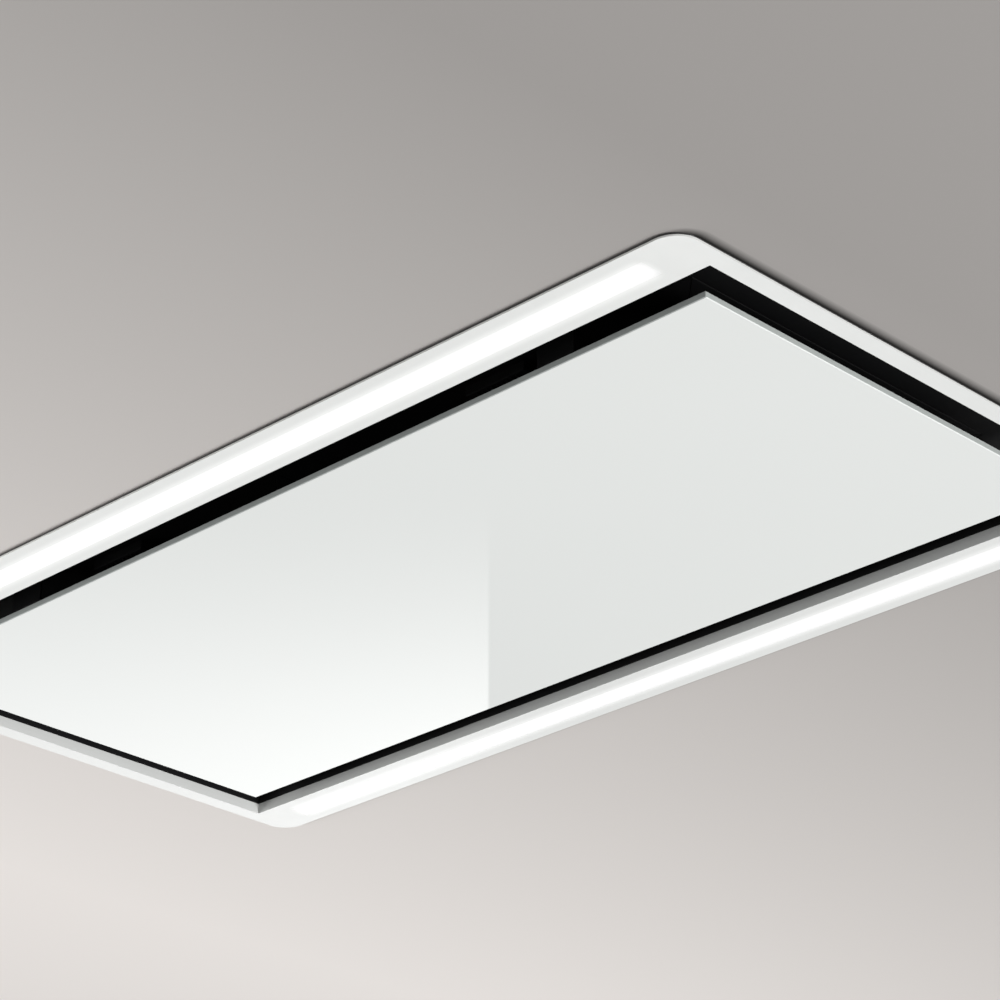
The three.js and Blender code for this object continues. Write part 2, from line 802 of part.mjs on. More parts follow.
// The straight beads: two at the left end, two right of the ring, three behind the
// control box and one at the right end.
function straightBeads() {
  const endX = casingOuterX - BEAD_END_MARGIN;
  const besideRing = blowerX + BEAD_RING_RADIUS + BEAD_WIDTH / 2 + BEAD_RING_CLEARANCE;
  const farEnd = casingOuterY - BEAD_SIDE_MARGIN;
  const behindBox = controlBoxY + CONTROL_BOX_WIDTH / 2 + BEAD_BOX_CLEARANCE;
  const across = [-endX, -endX + BEAD_PITCH, besideRing, besideRing + BEAD_PITCH, endX];
  const short = [controlBoxX - BEAD_PITCH, controlBoxX, controlBoxX + BEAD_PITCH];
  return [
    ...across.map((x) => ({ x, from: -farEnd, to: farEnd })),
    ...short.map((x) => ({ x, from: behindBox, to: farEnd })),
  ];
}

const beadHeight = CASING_SHEET + BEAD_RISE;
const beadSlope = (BEAD_WIDTH - BEAD_CREST) / 2;

// A ridge along Y whose sides and ends slope in towards its crest.
function beadRidge({ x, from, to }, bottom) {
  const ridge = box(
    x - BEAD_WIDTH / 2,
    x + BEAD_WIDTH / 2,
    from,
    to,
    bottom,
    bottom + beadHeight,
  );
  const middleY = (from + to) / 2;
  const corners = ridge.attributes.position;
  for (let index = 0; index < corners.count; index += 1) {
    const cornerX = corners.getX(index);
    const cornerY = corners.getY(index);
    if (corners.getZ(index) > bottom + beadHeight / 2) {
      corners.setX(index, cornerX - beadSlope * Math.sign(cornerX - x));
      corners.setY(index, cornerY - beadSlope * Math.sign(cornerY - middleY));
    }
  }
  return ridge;
}

function beadRing(bottom) {
  const inner = BEAD_RING_RADIUS - BEAD_WIDTH / 2;
  const outer = BEAD_RING_RADIUS + BEAD_WIDTH / 2;
  const ring = turned([
    [inner, bottom],
    [outer, bottom],
    [outer - beadSlope, bottom + beadHeight],
    [inner + beadSlope, bottom + beadHeight],
  ], 40);
  return ring.translate(blowerX, BLOWER_Y, 0);
}

// Every bead is a ridge on the sheet with the same ridge, one sheet lower, taken out.
function casingTopGeometry() {
  const sheet = raise(rectangle(casingOuterX, casingOuterY), casingTopUnder, CASING_RISE);
  const beadsFrom = (bottom) => [
    beadRing(bottom),
    ...straightBeads().map((bead) => beadRidge(bead, bottom)),
  ];
  return cut(
    join(sheet, ...beadsFrom(casingTopUnder)),
    ...beadsFrom(casingTopUnder - CASING_SHEET),
  );
}

// ---------------------------------------------------------------------------
// Suspension brackets: Z-shaped, for the threaded rods that carry the hood
// ---------------------------------------------------------------------------

function suspensionBracketGeometry() {
  const top = BRACKET_SHEET + BRACKET_RISER;
  const outline = polygon([
    [0, 0],
    [BRACKET_FOOT, 0],
    [BRACKET_FOOT, top - BRACKET_SHEET],
    [BRACKET_FOOT + BRACKET_ARM, top - BRACKET_SHEET],
    [BRACKET_FOOT + BRACKET_ARM, top],
    [BRACKET_FOOT - BRACKET_SHEET, top],
    [BRACKET_FOOT - BRACKET_SHEET, BRACKET_SHEET],
    [0, BRACKET_SHEET],
  ]);
  const halfWidth = BRACKET_WIDTH / 2;
  const slotY = BRACKET_FOOT + BRACKET_ARM / 2;
  const rodSlot = raise(
    roundedRectangle(ROD_SLOT_LENGTH / 2, ROD_SLOT_WIDTH / 2, ROD_SLOT_WIDTH / 2, 0, slotY),
    top - BRACKET_SHEET - 1,
    top + 1,
  );
  return cut(runAlongX(outline, -halfWidth, halfWidth), rodSlot);
}

function addSuspensionBrackets(hood) {
  const reach = BRACKET_FOOT + BRACKET_ARM + BRACKET_EDGE_MARGIN;
  for (const side of sides) {
    for (const strip of strips) {
      const bracket = addPiece(
        hood,
        `suspension_bracket_${strip.label}_${side.label}`,
        suspensionBracketGeometry(),
        FINISHES.galvanised,
      );
      bracket.position.set(
        side.sign * (casingOuterX - BRACKET_WIDTH / 2 - BRACKET_EDGE_MARGIN),
        strip.sign * (casingOuterY - reach),
        CASING_RISE + FIT_GAP,
      );
      bracket.rotation.z = strip.sign > 0 ? 0 : Math.PI;
    }
  }
}

// ---------------------------------------------------------------------------
// Fan: a spiral housing in two halves, hung from the casing's top on rubber
// hangers. Local origin: the fan's axis, at the underside of the housing.
// ---------------------------------------------------------------------------

const SPIRAL_STEPS = 36;
const voluteSplit = voluteHeight / 2;

function spiralPoints(offset) {
  const sweep = 2 * Math.PI - VOLUTE_TONGUE_ANGLE;
  return Array.from({ length: SPIRAL_STEPS + 1 }, (_, step) => {
    const share = step / SPIRAL_STEPS;
    const angle = VOLUTE_TONGUE_ANGLE + sweep * share;
    const radius = VOLUTE_BASE_RADIUS + VOLUTE_GROWTH * share + offset;
    return [radius * Math.cos(angle), radius * Math.sin(angle)];
  });
}

function voluteInside() {
  const beyond = VOLUTE_MOUTH_RUN + 1;
  return polygon([...spiralPoints(0), [voluteEndRadius, beyond], [tongueX, beyond]]);
}

function voluteOutside() {
  const left = tongueX - VOLUTE_WALL;
  const right = voluteEndRadius + VOLUTE_WALL;
  const wall = spiralPoints(VOLUTE_WALL).filter(([x, y]) => x < left || y < 0);
  const tongueY = Math.sqrt((VOLUTE_BASE_RADIUS + VOLUTE_WALL) ** 2 - left ** 2);
  const mouth = [[right, VOLUTE_MOUTH_RUN], [left, VOLUTE_MOUTH_RUN], [left, tongueY]];
  return polygon([...wall, ...mouth]);
}

function voluteLowerGeometry() {
  return cut(
    raise(voluteOutside(), 0, voluteSplit),
    raise(voluteInside(), VOLUTE_WALL, voluteSplit + 1),
    raise(circle(INLET_RADIUS + INLET_THICKNESS + FIT_GAP), -1, VOLUTE_WALL + 1, 24),
  );
}

function voluteUpperGeometry() {
  return cut(
    raise(voluteOutside(), voluteSplit + FIT_GAP, voluteHeight),
    raise(voluteInside(), voluteSplit, voluteHeight - VOLUTE_WALL),
    raise(circle(ROTOR_RADIUS + MOTOR_HOLE_MARGIN), voluteHeight - VOLUTE_WALL - 1,
      voluteHeight + 1, 24),
  );
}

function inletRingGeometry() {
  const flangeTop = -FIT_GAP;
  const flangeBottom = flangeTop - INLET_THICKNESS;
  const outer = INLET_RADIUS + INLET_FLARE;
  const nozzleTop = VOLUTE_WALL + IMPELLER_CLEARANCE;
  return turned([
    [INLET_RADIUS, flangeTop + INLET_THICKNESS],
    [INLET_RADIUS + INLET_THICKNESS, flangeBottom],
    [outer, flangeBottom],
    [outer, flangeTop],
    [INLET_RADIUS + INLET_THICKNESS, flangeTop],
    [INLET_RADIUS + INLET_THICKNESS, nozzleTop],
    [INLET_RADIUS, nozzleTop],
  ], 40);
}

const wheelBottom = VOLUTE_WALL + IMPELLER_CLEARANCE + FIT_GAP;
const wheelTop = voluteHeight - VOLUTE_WALL - IMPELLER_CLEARANCE;
const bladeInnerRadius = IMPELLER_RADIUS - BLADE_DEPTH;

// A forward-curved blade: its tip leads in the direction of rotation.
function bladeShape(angle) {
  const inner = bladeInnerRadius + 1;
  const outer = IMPELLER_RADIUS - 1;
  const halfAngle = BLADE_THICKNESS / IMPELLER_RADIUS / 2;
  const edge = (offset) => [0, 1, 2].map((step) => {
    const share = step / 2;
    const radius = inner + (outer - inner) * share;
    const turn = angle + BLADE_SWEEP * share * share + offset;
    return [radius * Math.cos(turn), radius * Math.sin(turn)];
  });
  return polygon([...edge(-halfAngle), ...edge(halfAngle).reverse()]);
}

function impellerGeometry() {
  const plate = withHoles(circle(IMPELLER_RADIUS), circle(ROTOR_RADIUS + FIT_GAP));
  const ring = withHoles(circle(IMPELLER_RADIUS), circle(bladeInnerRadius));
  const blades = Array.from({ length: BLADE_COUNT }, (_, index) => raise(
    bladeShape(index * 2 * Math.PI / BLADE_COUNT),
    wheelBottom + IMPELLER_PLATE / 2,
    wheelTop - IMPELLER_PLATE / 2,
  ));
  return join(
    raise(plate, wheelTop - IMPELLER_PLATE, wheelTop, 20),
    raise(ring, wheelBottom, wheelBottom + IMPELLER_PLATE, 20),
    ...blades,
  );
}

// ---------------------------------------------------------------------------
// Motor: the rotor cup turns round a stator that hangs from the motor plate
// ---------------------------------------------------------------------------

const rotorBottom = wheelTop - ROTOR_HEIGHT;
const rotorFloor = rotorBottom + ROTOR_WALL;
const statorRadius = ROTOR_RADIUS - ROTOR_WALL - AIR_GAP;
const statorBottom = rotorFloor + AIR_GAP;
const motorPlateBottom = voluteHeight + FIT_GAP;
const statorTop = motorPlateBottom - FIT_GAP;
const housingRadius = BEARING_RADIUS + FIT_GAP;
const boreRadius = SHAFT_RADIUS + FIT_GAP;

function rotorGeometry() {
  const innerRadius = ROTOR_RADIUS - ROTOR_WALL;
  return turned([
    [0, rotorBottom],
    [ROTOR_RADIUS, rotorBottom],
    [ROTOR_RADIUS, wheelTop],
    [innerRadius, wheelTop],
    [innerRadius, rotorFloor],
    [0, rotorFloor],
  ]);
}

function statorGeometry() {
  const lowerSeat = statorBottom + BEARING_WIDTH + FIT_GAP;
  const upperSeat = statorTop - BEARING_WIDTH - FIT_GAP;
  return turned([
    [housingRadius, statorBottom],
    [statorRadius, statorBottom],
    [statorRadius, statorTop],
    [housingRadius, statorTop],
    [housingRadius, upperSeat],
    [boreRadius + 1, upperSeat],
    [boreRadius + 1, lowerSeat],
    [housingRadius, lowerSeat],
  ]);
}

function bearingGeometry(bottom) {
  return turned([
    [boreRadius, bottom],
    [BEARING_RADIUS, bottom],
    [BEARING_RADIUS, bottom + BEARING_WIDTH],
    [boreRadius, bottom + BEARING_WIDTH],
  ], 24);
}

function shaftGeometry() {
  const bottom = rotorFloor + FIT_GAP;
  const top = statorTop - FIT_GAP;
  return turned([[0, bottom], [SHAFT_RADIUS, bottom], [SHAFT_RADIUS, top], [0, top]], 20);
}

function addBlower(hood) {
  const blower = new THREE.Group();
  blower.position.set(blowerX, BLOWER_Y, voluteBottom);
  addPiece(blower, 'volute_lower', voluteLowerGeometry(), FINISHES.blackPlastic);
  addPiece(blower, 'volute_upper', voluteUpperGeometry(), FINISHES.blackPlastic);
  addPiece(blower, 'inlet_ring', inletRingGeometry(), FINISHES.greyPlastic);
  addPiece(blower, 'impeller', impellerGeometry(), FINISHES.greyPlastic);
  addPiece(blower, 'rotor_cup', rotorGeometry(), FINISHES.steel);
  addPiece(blower, 'motor_shaft', shaftGeometry(), FINISHES.steel);
  addPiece(blower, 'stator', statorGeometry(), FINISHES.magnet);
  addPiece(blower, 'bearing_lower', bearingGeometry(statorBottom), FINISHES.steel);
  addPiece(blower, 'bearing_upper', bearingGeometry(statorTop - BEARING_WIDTH), FINISHES.steel);
  addPiece(
    blower,
    'motor_plate',
    raise(circle(MOTOR_PLATE_RADIUS), motorPlateBottom, motorPlateBottom + MOTOR_PLATE_THICKNESS),
    FINISHES.galvanised,
  );
  for (let index = 0; index < 4; index += 1) {
    const angle = Math.PI / 4 + index * Math.PI / 2;
    const hanger = addPiece(
      blower,
      `rubber_hanger_${index + 1}`,
      raise(circle(HANGER_RADIUS), 0, HANGER_HEIGHT),
      FINISHES.rubber,
    );
    hanger.position.set(
      HANGER_CIRCLE_RADIUS * Math.cos(angle),
      HANGER_CIRCLE_RADIUS * Math.sin(angle),
      voluteHeight + FIT_GAP,
    );
  }
  hood.add(blower);
}

// ---------------------------------------------------------------------------
// Outlet: a duct from the fan's mouth to the casing wall, with a gravity flap,
// and the spigot outside that takes a flat duct
// ---------------------------------------------------------------------------

const ductEndY = casingInnerY - FIT_GAP;
const ductStartY = BLOWER_Y + VOLUTE_MOUTH_RUN - DUCT_SLEEVE;
const flapPivotY = ductEndY - FLAP_PIVOT_SETBACK;
const flapPivotZ = outletZ + spigotInnerHalfZ - FLAP_PIVOT_DROP;

function ductPlan(inset, overrun) {
  const mouthLeft = blowerX + tongueX - VOLUTE_WALL - FIT_GAP - DUCT_WALL + inset;
  const mouthRight = blowerX + voluteEndRadius + VOLUTE_WALL + FIT_GAP + DUCT_WALL - inset;
  const end = SPIGOT_WIDTH / 2 - inset;
  const taperStart = ductStartY + DUCT_SLEEVE;
  const taperEnd = ductEndY - FLAP_CHAMBER;
  return polygon([
    [mouthLeft, ductStartY - overrun],
    [mouthRight, ductStartY - overrun],
    [mouthRight, taperStart],
    [end, taperEnd],
    [end, ductEndY + overrun],
    [-end, ductEndY + overrun],
    [-end, taperEnd],
    [mouthLeft, taperStart],
  ]);
}

function outletDuctGeometry() {
  const halfZ = SPIGOT_HEIGHT / 2;
  const shell = cut(
    raise(ductPlan(0, 0), outletZ - halfZ, outletZ + halfZ),
    raise(ductPlan(DUCT_WALL, 1), outletZ - spigotInnerHalfZ, outletZ + spigotInnerHalfZ),
  );
  const stopY = flapPivotY - FLAP_THICKNESS / 2 - FIT_GAP;
  const floorZ = outletZ - spigotInnerHalfZ;
  const stop = box(
    -spigotInnerHalfX - DUCT_WALL / 2,
    spigotInnerHalfX + DUCT_WALL / 2,
    stopY - FLAP_STOP,
    stopY,
    floorZ - DUCT_WALL / 2,
    floorZ + FLAP_STOP,
  );
  const pinHole = runAlongX(
    circle(FLAP_PIN_RADIUS + FIT_GAP, flapPivotY, flapPivotZ),
    -SPIGOT_WIDTH,
    SPIGOT_WIDTH,
  );
  return cut(join(shell, stop), pinHole);
}

// The flap hangs from a sleeve on the pin; local origin on the pin's axis.
function flapGeometry() {
  const halfX = spigotInnerHalfX - FLAP_EDGE_CLEARANCE;
  const bottom = outletZ - spigotInnerHalfZ + FLAP_EDGE_CLEARANCE - flapPivotZ;
  const blade = box(
    -halfX,
    halfX,
    -FLAP_THICKNESS / 2,
    FLAP_THICKNESS / 2,
    bottom,
    -FLAP_PIN_RADIUS - FLAP_THICKNESS,
  );
  const sleeve = withHoles(circle(FLAP_SLEEVE_RADIUS), circle(FLAP_PIN_RADIUS + FIT_GAP));
  return join(blade, runAlongX(sleeve, -halfX, halfX, 5));
}

function spigotGeometry() {
  const rimHalfX = SPIGOT_WIDTH / 2 + SPIGOT_RIM;
  const rimHalfZ = SPIGOT_HEIGHT / 2 + SPIGOT_RIM;
  const tube = withHoles(
    rectangle(SPIGOT_WIDTH / 2, SPIGOT_HEIGHT / 2),
    rectangle(spigotInnerHalfX, spigotInnerHalfZ),
  );
  const rim = withHoles(
    rectangle(rimHalfX, rimHalfZ),
    rectangle(spigotInnerHalfX, spigotInnerHalfZ),
  );
  const shape = join(raise(tube, 0, SPIGOT_LENGTH), raise(rim, 0, DUCT_WALL));
  return shape.rotateX(-Math.PI / 2);
}

function addOutlet(hood) {
  addPiece(hood, 'outlet_duct', outletDuctGeometry(), FINISHES.blackPlastic);
  const spigot = addPiece(hood, 'outlet_spigot', spigotGeometry(), FINISHES.blackPlastic);
  spigot.position.set(0, casingOuterY + FIT_GAP, outletZ);
  const flap = addPiece(hood, 'outlet_flap', flapGeometry(), FINISHES.greyPlastic);
  flap.position.set(0, flapPivotY, flapPivotZ);
  const pin = runAlongX(circle(FLAP_PIN_RADIUS), -SPIGOT_WIDTH / 2, SPIGOT_WIDTH / 2, 5);
  addPiece(hood, 'flap_pin', pin, FINISHES.steel).position.set(0, flapPivotY, flapPivotZ);
}

// ---------------------------------------------------------------------------
// Control box on the casing's top, and the light supply on the deck
// ---------------------------------------------------------------------------

const boxHalfX = CONTROL_BOX_LENGTH / 2;
const boxHalfY = CONTROL_BOX_WIDTH / 2;
const boxInnerX = boxHalfX - CONTROL_BOX_WALL;
const boxInnerY = boxHalfY - CONTROL_BOX_WALL;
const boardHalfX = boxInnerX - BOARD_MARGIN;
const boardHalfY = boxInnerY - BOARD_MARGIN;
const boardBottom = CONTROL_BOX_WALL + BOARD_STANDOFF + FIT_GAP;
const glandZ = CONTROL_BOX_HEIGHT / 2;

function controlBoxGeometry() {
  const hollow = cut(
    raise(rectangle(boxHalfX, boxHalfY), 0, CONTROL_BOX_HEIGHT),
    raise(rectangle(boxInnerX, boxInnerY), CONTROL_BOX_WALL, CONTROL_BOX_HEIGHT + 1),
    runAlongX(circle(GLAND_THREAD_RADIUS + FIT_GAP, 0, glandZ), boxInnerX - 1, boxHalfX + 1),
  );
  const standoffs = [];
  for (const x of [-1, 1]) {
    for (const y of [-1, 1]) {
      standoffs.push(raise(
        circle(STANDOFF_RADIUS, x * (boardHalfX - STANDOFF_RADIUS), y * (boardHalfY - STANDOFF_RADIUS)),
        CONTROL_BOX_WALL / 2,
        CONTROL_BOX_WALL + BOARD_STANDOFF,
        4,
      ));
    }
  }
  return join(hollow, ...standoffs);
}

function glandGeometry() {
  const nutOuter = CONTROL_BOX_WALL + FIT_GAP + GLAND_NUT_LENGTH;
  const inside = GLAND_LENGTH - nutOuter;
  return turned([
    [GLAND_BORE_RADIUS, -inside / 2],
    [GLAND_THREAD_RADIUS, -inside / 2],
    [GLAND_THREAD_RADIUS, CONTROL_BOX_WALL + FIT_GAP],
    [GLAND_NUT_RADIUS, CONTROL_BOX_WALL + FIT_GAP],
    [GLAND_NUT_RADIUS, nutOuter],
    [GLAND_THREAD_RADIUS, nutOuter + inside / 2],
    [GLAND_BORE_RADIUS, nutOuter + inside / 2],
  ], 18).rotateY(Math.PI / 2);
}

function addControls(hood) {
  const controls = new THREE.Group();
  controls.position.set(controlBoxX, controlBoxY, CASING_RISE + FIT_GAP);
  addPiece(controls, 'control_box', controlBoxGeometry(), FINISHES.greyPlastic);
  const lidBottom = CONTROL_BOX_HEIGHT + FIT_GAP;
  addPiece(
    controls,
    'control_box_lid',
    raise(rectangle(boxHalfX, boxHalfY), lidBottom, lidBottom + CONTROL_LID_THICKNESS),
    FINISHES.greyPlastic,
  );
  addPiece(
    controls,
    'control_board',
    raise(rectangle(boardHalfX, boardHalfY), boardBottom, boardBottom + BOARD_THICKNESS),
    FINISHES.circuit,
  );
  const terminalBottom = boardBottom + BOARD_THICKNESS + FIT_GAP;
  const terminal = raise(
    rectangle(TERMINAL_DEPTH / 2, TERMINAL_LENGTH / 2),
    terminalBottom,
    terminalBottom + TERMINAL_HEIGHT,
  );
  const terminalX = boardHalfX - TERMINAL_DEPTH;
  addPiece(controls, 'terminal_block', terminal, FINISHES.whitePlastic).position.x = terminalX;
  addPiece(controls, 'cable_gland', glandGeometry(), FINISHES.blackPlastic)
    .position.set(boxInnerX, 0, glandZ);
  hood.add(controls);
}

function addLightSupply(hood) {
  const driver = raise(
    roundedRectangle(DRIVER_WIDTH / 2, DRIVER_LENGTH / 2, DRIVER_CORNER_RADIUS),
    0,
    DRIVER_HEIGHT,
    3,
  );
  addPiece(hood, 'light_supply', driver, FINISHES.whitePlastic)
    .position.set(openingHalfX - FILTER_END_MARGIN / 2, 0, deckTop + FIT_GAP);
}

// ---------------------------------------------------------------------------
// The hood
// ---------------------------------------------------------------------------

const hood = new THREE.Group();

addPiece(hood, 'frame', frameGeometry(), FINISHES.whitePaint);
addPiece(hood, 'frame_gasket', gasketGeometry(), FINISHES.foam);
strips.forEach((strip) => addLight(hood, strip));

addPiece(hood, 'panel_glass', glassGeometry(), FINISHES.whiteGlass);
addPiece(hood, 'panel_tray', trayGeometry(), FINISHES.blackSheet);
sides.forEach((side) => addHinge(hood, side));
sides.forEach((side) => addCatch(hood, side));

addPiece(hood, 'deck', deckGeometry(), FINISHES.blackSheet);
sides.forEach((side) => addFilter(hood, side));

addPiece(hood, 'casing_walls', casingWallsGeometry(), FINISHES.galvanised);
addPiece(hood, 'casing_top', casingTopGeometry(), FINISHES.galvanised);
addSuspensionBrackets(hood);

addBlower(hood);
addOutlet(hood);
addControls(hood);
addLightSupply(hood);

export default hood;
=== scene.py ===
# A flush ceiling range hood with suction round its edge, in metres, +Z up.
#
# The origin is the middle of the ceiling cut-out, in the plane of the finished
# ceiling. The sections follow the hood as it is put together, from the frame and the
# panel that show below the ceiling to the casing, the fan and the outlet above it.

import math

import bmesh
import bpy
from mathutils import Matrix, Vector


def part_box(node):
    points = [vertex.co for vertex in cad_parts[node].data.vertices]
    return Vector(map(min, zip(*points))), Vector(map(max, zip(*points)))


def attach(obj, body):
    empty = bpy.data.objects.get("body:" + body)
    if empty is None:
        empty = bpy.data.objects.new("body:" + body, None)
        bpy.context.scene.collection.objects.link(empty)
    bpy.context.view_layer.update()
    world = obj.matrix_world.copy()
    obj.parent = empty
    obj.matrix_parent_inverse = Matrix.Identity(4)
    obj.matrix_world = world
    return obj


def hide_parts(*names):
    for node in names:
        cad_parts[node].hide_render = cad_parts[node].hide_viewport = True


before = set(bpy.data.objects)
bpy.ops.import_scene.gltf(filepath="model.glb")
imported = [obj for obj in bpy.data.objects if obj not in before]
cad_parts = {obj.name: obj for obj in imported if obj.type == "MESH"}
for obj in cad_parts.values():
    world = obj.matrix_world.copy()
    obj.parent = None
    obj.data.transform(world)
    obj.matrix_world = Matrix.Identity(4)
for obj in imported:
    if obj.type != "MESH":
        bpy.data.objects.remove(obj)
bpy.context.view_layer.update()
scene = bpy.context.scene
scene.view_settings.view_transform = "Standard"


# ----------------------------------------
# Viewpoint: below the hood and off its near right corner, looking up, as in the
# photograph. The focal length is given in pixels of a picture 1000 pixels wide.

PICTURE_WIDTH = 1000
FOCAL_PIXELS = 3237.6
CAMERA_AZIMUTH = math.radians(44.45)
CAMERA_ELEVATION = math.radians(-26.30)
CAMERA_PLACE = (1.67475, -1.64393, -1.08513)

lens = bpy.data.cameras.new("camera")
lens.sensor_width = 36
lens.lens = FOCAL_PIXELS / PICTURE_WIDTH * lens.sensor_width
camera = bpy.data.objects.new("camera", lens)
camera.location = CAMERA_PLACE
camera.rotation_euler = (math.radians(90) - CAMERA_ELEVATION, 0, CAMERA_AZIMUTH)
scene.collection.objects.link(camera)
scene.camera = camera


# ----------------------------------------
# Ceiling: a pale sheet with the cut-out that the hood is set in. It parts the
# light above it from the light below it, and isn't part of the hood. Its colour is
# plain but for painted shade, which makes its right end the darker one, and a painted
# shadow of the frame, which darkens it a little along the hood's right end.

PATTERN_LOW, PATTERN_HIGH = 0.3, 0.7
CEILING_REACH = 9.0
CEILING_LIFT = 0.0002
CUTOUT_OVERLAP = 0.0075
FRAME_CORNER = 0.020
CEILING_COLOUR = (0.747, 0.712, 0.686)
CEILING_SHADE = 0.42
SHADE_SLOPE = 0.3008
SHADE_MIDDLE = 0.4654
# The painted shadow of the frame on the plaster:
SHADOW_SHIFT = (0.0042, 0.0042, 0)
SHADOW_SOFTNESS = 0.0042
SHADOW_LEFT = 0.07


def shader_inputs(material):
    return material.node_tree.nodes["Principled BSDF"].inputs


def finish(name, colour, roughness, metallic=0.0, specular=0.5):
    material = bpy.data.materials.new(name)
    material.use_nodes = True
    inputs = shader_inputs(material)
    inputs["Base Color"].default_value = (*colour, 1)
    inputs["Roughness"].default_value = roughness
    inputs["Metallic"].default_value = metallic
    inputs["Specular IOR Level"].default_value = specular
    return material


def tint(material, pattern, dark, light=1.0):
    """Lets a pattern move the colour between two shares of its own lightness."""
    tree = material.node_tree
    colour = shader_inputs(material)["Base Color"]
    ramp = tree.nodes.new("ShaderNodeValToRGB")
    ends = zip(ramp.color_ramp.elements, (PATTERN_LOW, PATTERN_HIGH), (dark, light))
    for element, position, share in ends:
        element.position = position
        element.color = (*(channel * share for channel in colour.default_value[:3]), 1)
    tree.links.new(pattern, ramp.inputs["Fac"])
    tree.links.new(ramp.outputs["Color"], colour)


def own_point(tree):
    """The shaded point in the Object coordinates of its piece."""
    return tree.nodes.new("ShaderNodeTexCoord").outputs["Object"]


def add_operator(tree, kind, operation, values):
    node = tree.nodes.new(kind)
    node.operation = operation
    for socket, value in zip(node.inputs, values):
        if isinstance(value, bpy.types.NodeSocket):
            tree.links.new(value, socket)
        else:
            socket.default_value = value
    return node.outputs


def add_number(tree, operation, *values):
    return add_operator(tree, "ShaderNodeMath", operation, values)["Value"]


def add_vector(tree, operation, *values, result="Vector"):
    return add_operator(tree, "ShaderNodeVectorMath", operation, values)[result]


def add_span(tree, value, low, high, to_low, to_high, smooth=False):
    node = tree.nodes.new("ShaderNodeMapRange")
    node.interpolation_type = "SMOOTHSTEP" if smooth else "LINEAR"
    node.inputs["From Min"].default_value = low
    node.inputs["From Max"].default_value = high
    node.inputs["To Min"].default_value = to_low
    node.inputs["To Max"].default_value = to_high
    tree.links.new(value, node.inputs["Value"])
    return node.outputs["Result"]


frame_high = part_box("frame")[1]
sheet = bmesh.new()
bmesh.ops.create_grid(sheet, x_segments=3, y_segments=3, size=1)
for vert in sheet.verts:
    for axis in (0, 1):
        outer = abs(vert.co[axis]) > 0.5
        reach = CEILING_REACH if outer else frame_high[axis] - CUTOUT_OVERLAP
        vert.co[axis] = math.copysign(reach, vert.co[axis])
    vert.co.z = CEILING_LIFT
middle = [face for face in sheet.faces if face.calc_center_median().xy.length < 0.01]
bmesh.ops.delete(sheet, geom=middle, context="FACES")
ceiling_mesh = bpy.data.meshes.new("ceiling")
sheet.to_mesh(ceiling_mesh)
sheet.free()
plaster = finish("plaster", CEILING_COLOUR, 0.9, specular=0.1)
room = plaster.node_tree
room_point = own_point(room)
# Painted shade: the plaster's colour darkens towards the right end.
painted_falloff = add_vector(room, "DOT_PRODUCT", room_point, (-SHADE_SLOPE, 0, 0), result="Value")
shade = add_number(room, "ADD", painted_falloff, SHADE_MIDDLE)
tint(plaster, shade, CEILING_SHADE)

# A painted shadow of the frame: the plaster's colour is darkened in a soft band round the frame's
# outline, shifted towards the right end and the far side.
shadow_core = (frame_high.x - FRAME_CORNER, frame_high.y - FRAME_CORNER, 1)
folded = add_vector(room, "ABSOLUTE", add_vector(room, "SUBTRACT", room_point, SHADOW_SHIFT))
past_core = add_vector(room, "SUBTRACT", folded, shadow_core)
past_core = add_vector(room, "MAXIMUM", past_core, (0, 0, 0))
painted_shadow_share = add_span(
    room, add_vector(room, "LENGTH", past_core, result="Value"),
    FRAME_CORNER - SHADOW_SOFTNESS, FRAME_CORNER + SHADOW_SOFTNESS, SHADOW_LEFT, 1)
plaster_colour = shader_inputs(plaster)["Base Color"]
painted_shadow_colour = add_vector(room, "MULTIPLY", plaster_colour.links[0].from_socket, painted_shadow_share)
room.links.new(painted_shadow_colour, plaster_colour)
ceiling_mesh.materials.append(plaster)
ceiling = bpy.data.objects.new("ceiling", ceiling_mesh)
scene.collection.objects.link(ceiling)


# ----------------------------------------
# Studio light: an even surround, with a soft key from the right and two weaker lamps
# from the left below the ceiling, and two lamps above it. Gloss also mirrors a pale
# wall far off beyond the hood, whose right end is the edge seen in the panel.

LIGHT_BELOW = 0.287
LIGHT_ABOVE = 0.55
HORIZON_SOFTNESS = 0.02
BACKDROP = 0.88
WALL_EDGE_COLUMN = 487.5
WALL_EDGE_SOFTNESS = 0.0004
WALL_FOOT = -0.45
WALL_TOP = -0.35
WALL_GLOW = 2.0
WALL_LENGTH = 0.15
WALL_FAR_SHARE = 0.65
LAMPS = (
    ("key_below", (0.74, 0.14, -0.655), 9, 4.5, 837),
    ("fill_below", (-0.29, 0.57, -0.77), 2.1, 0.45, 5.6),
    ("side_below", (-0.90, -0.70, -0.25), 2.2, 0.8, 16.5),
    ("key_above", (-0.45, -0.60, 0.75), 3.2, 1.6, 62),
    ("fill_above", (0.75, 0.45, 0.60), 3.2, 1.6, 40),
)

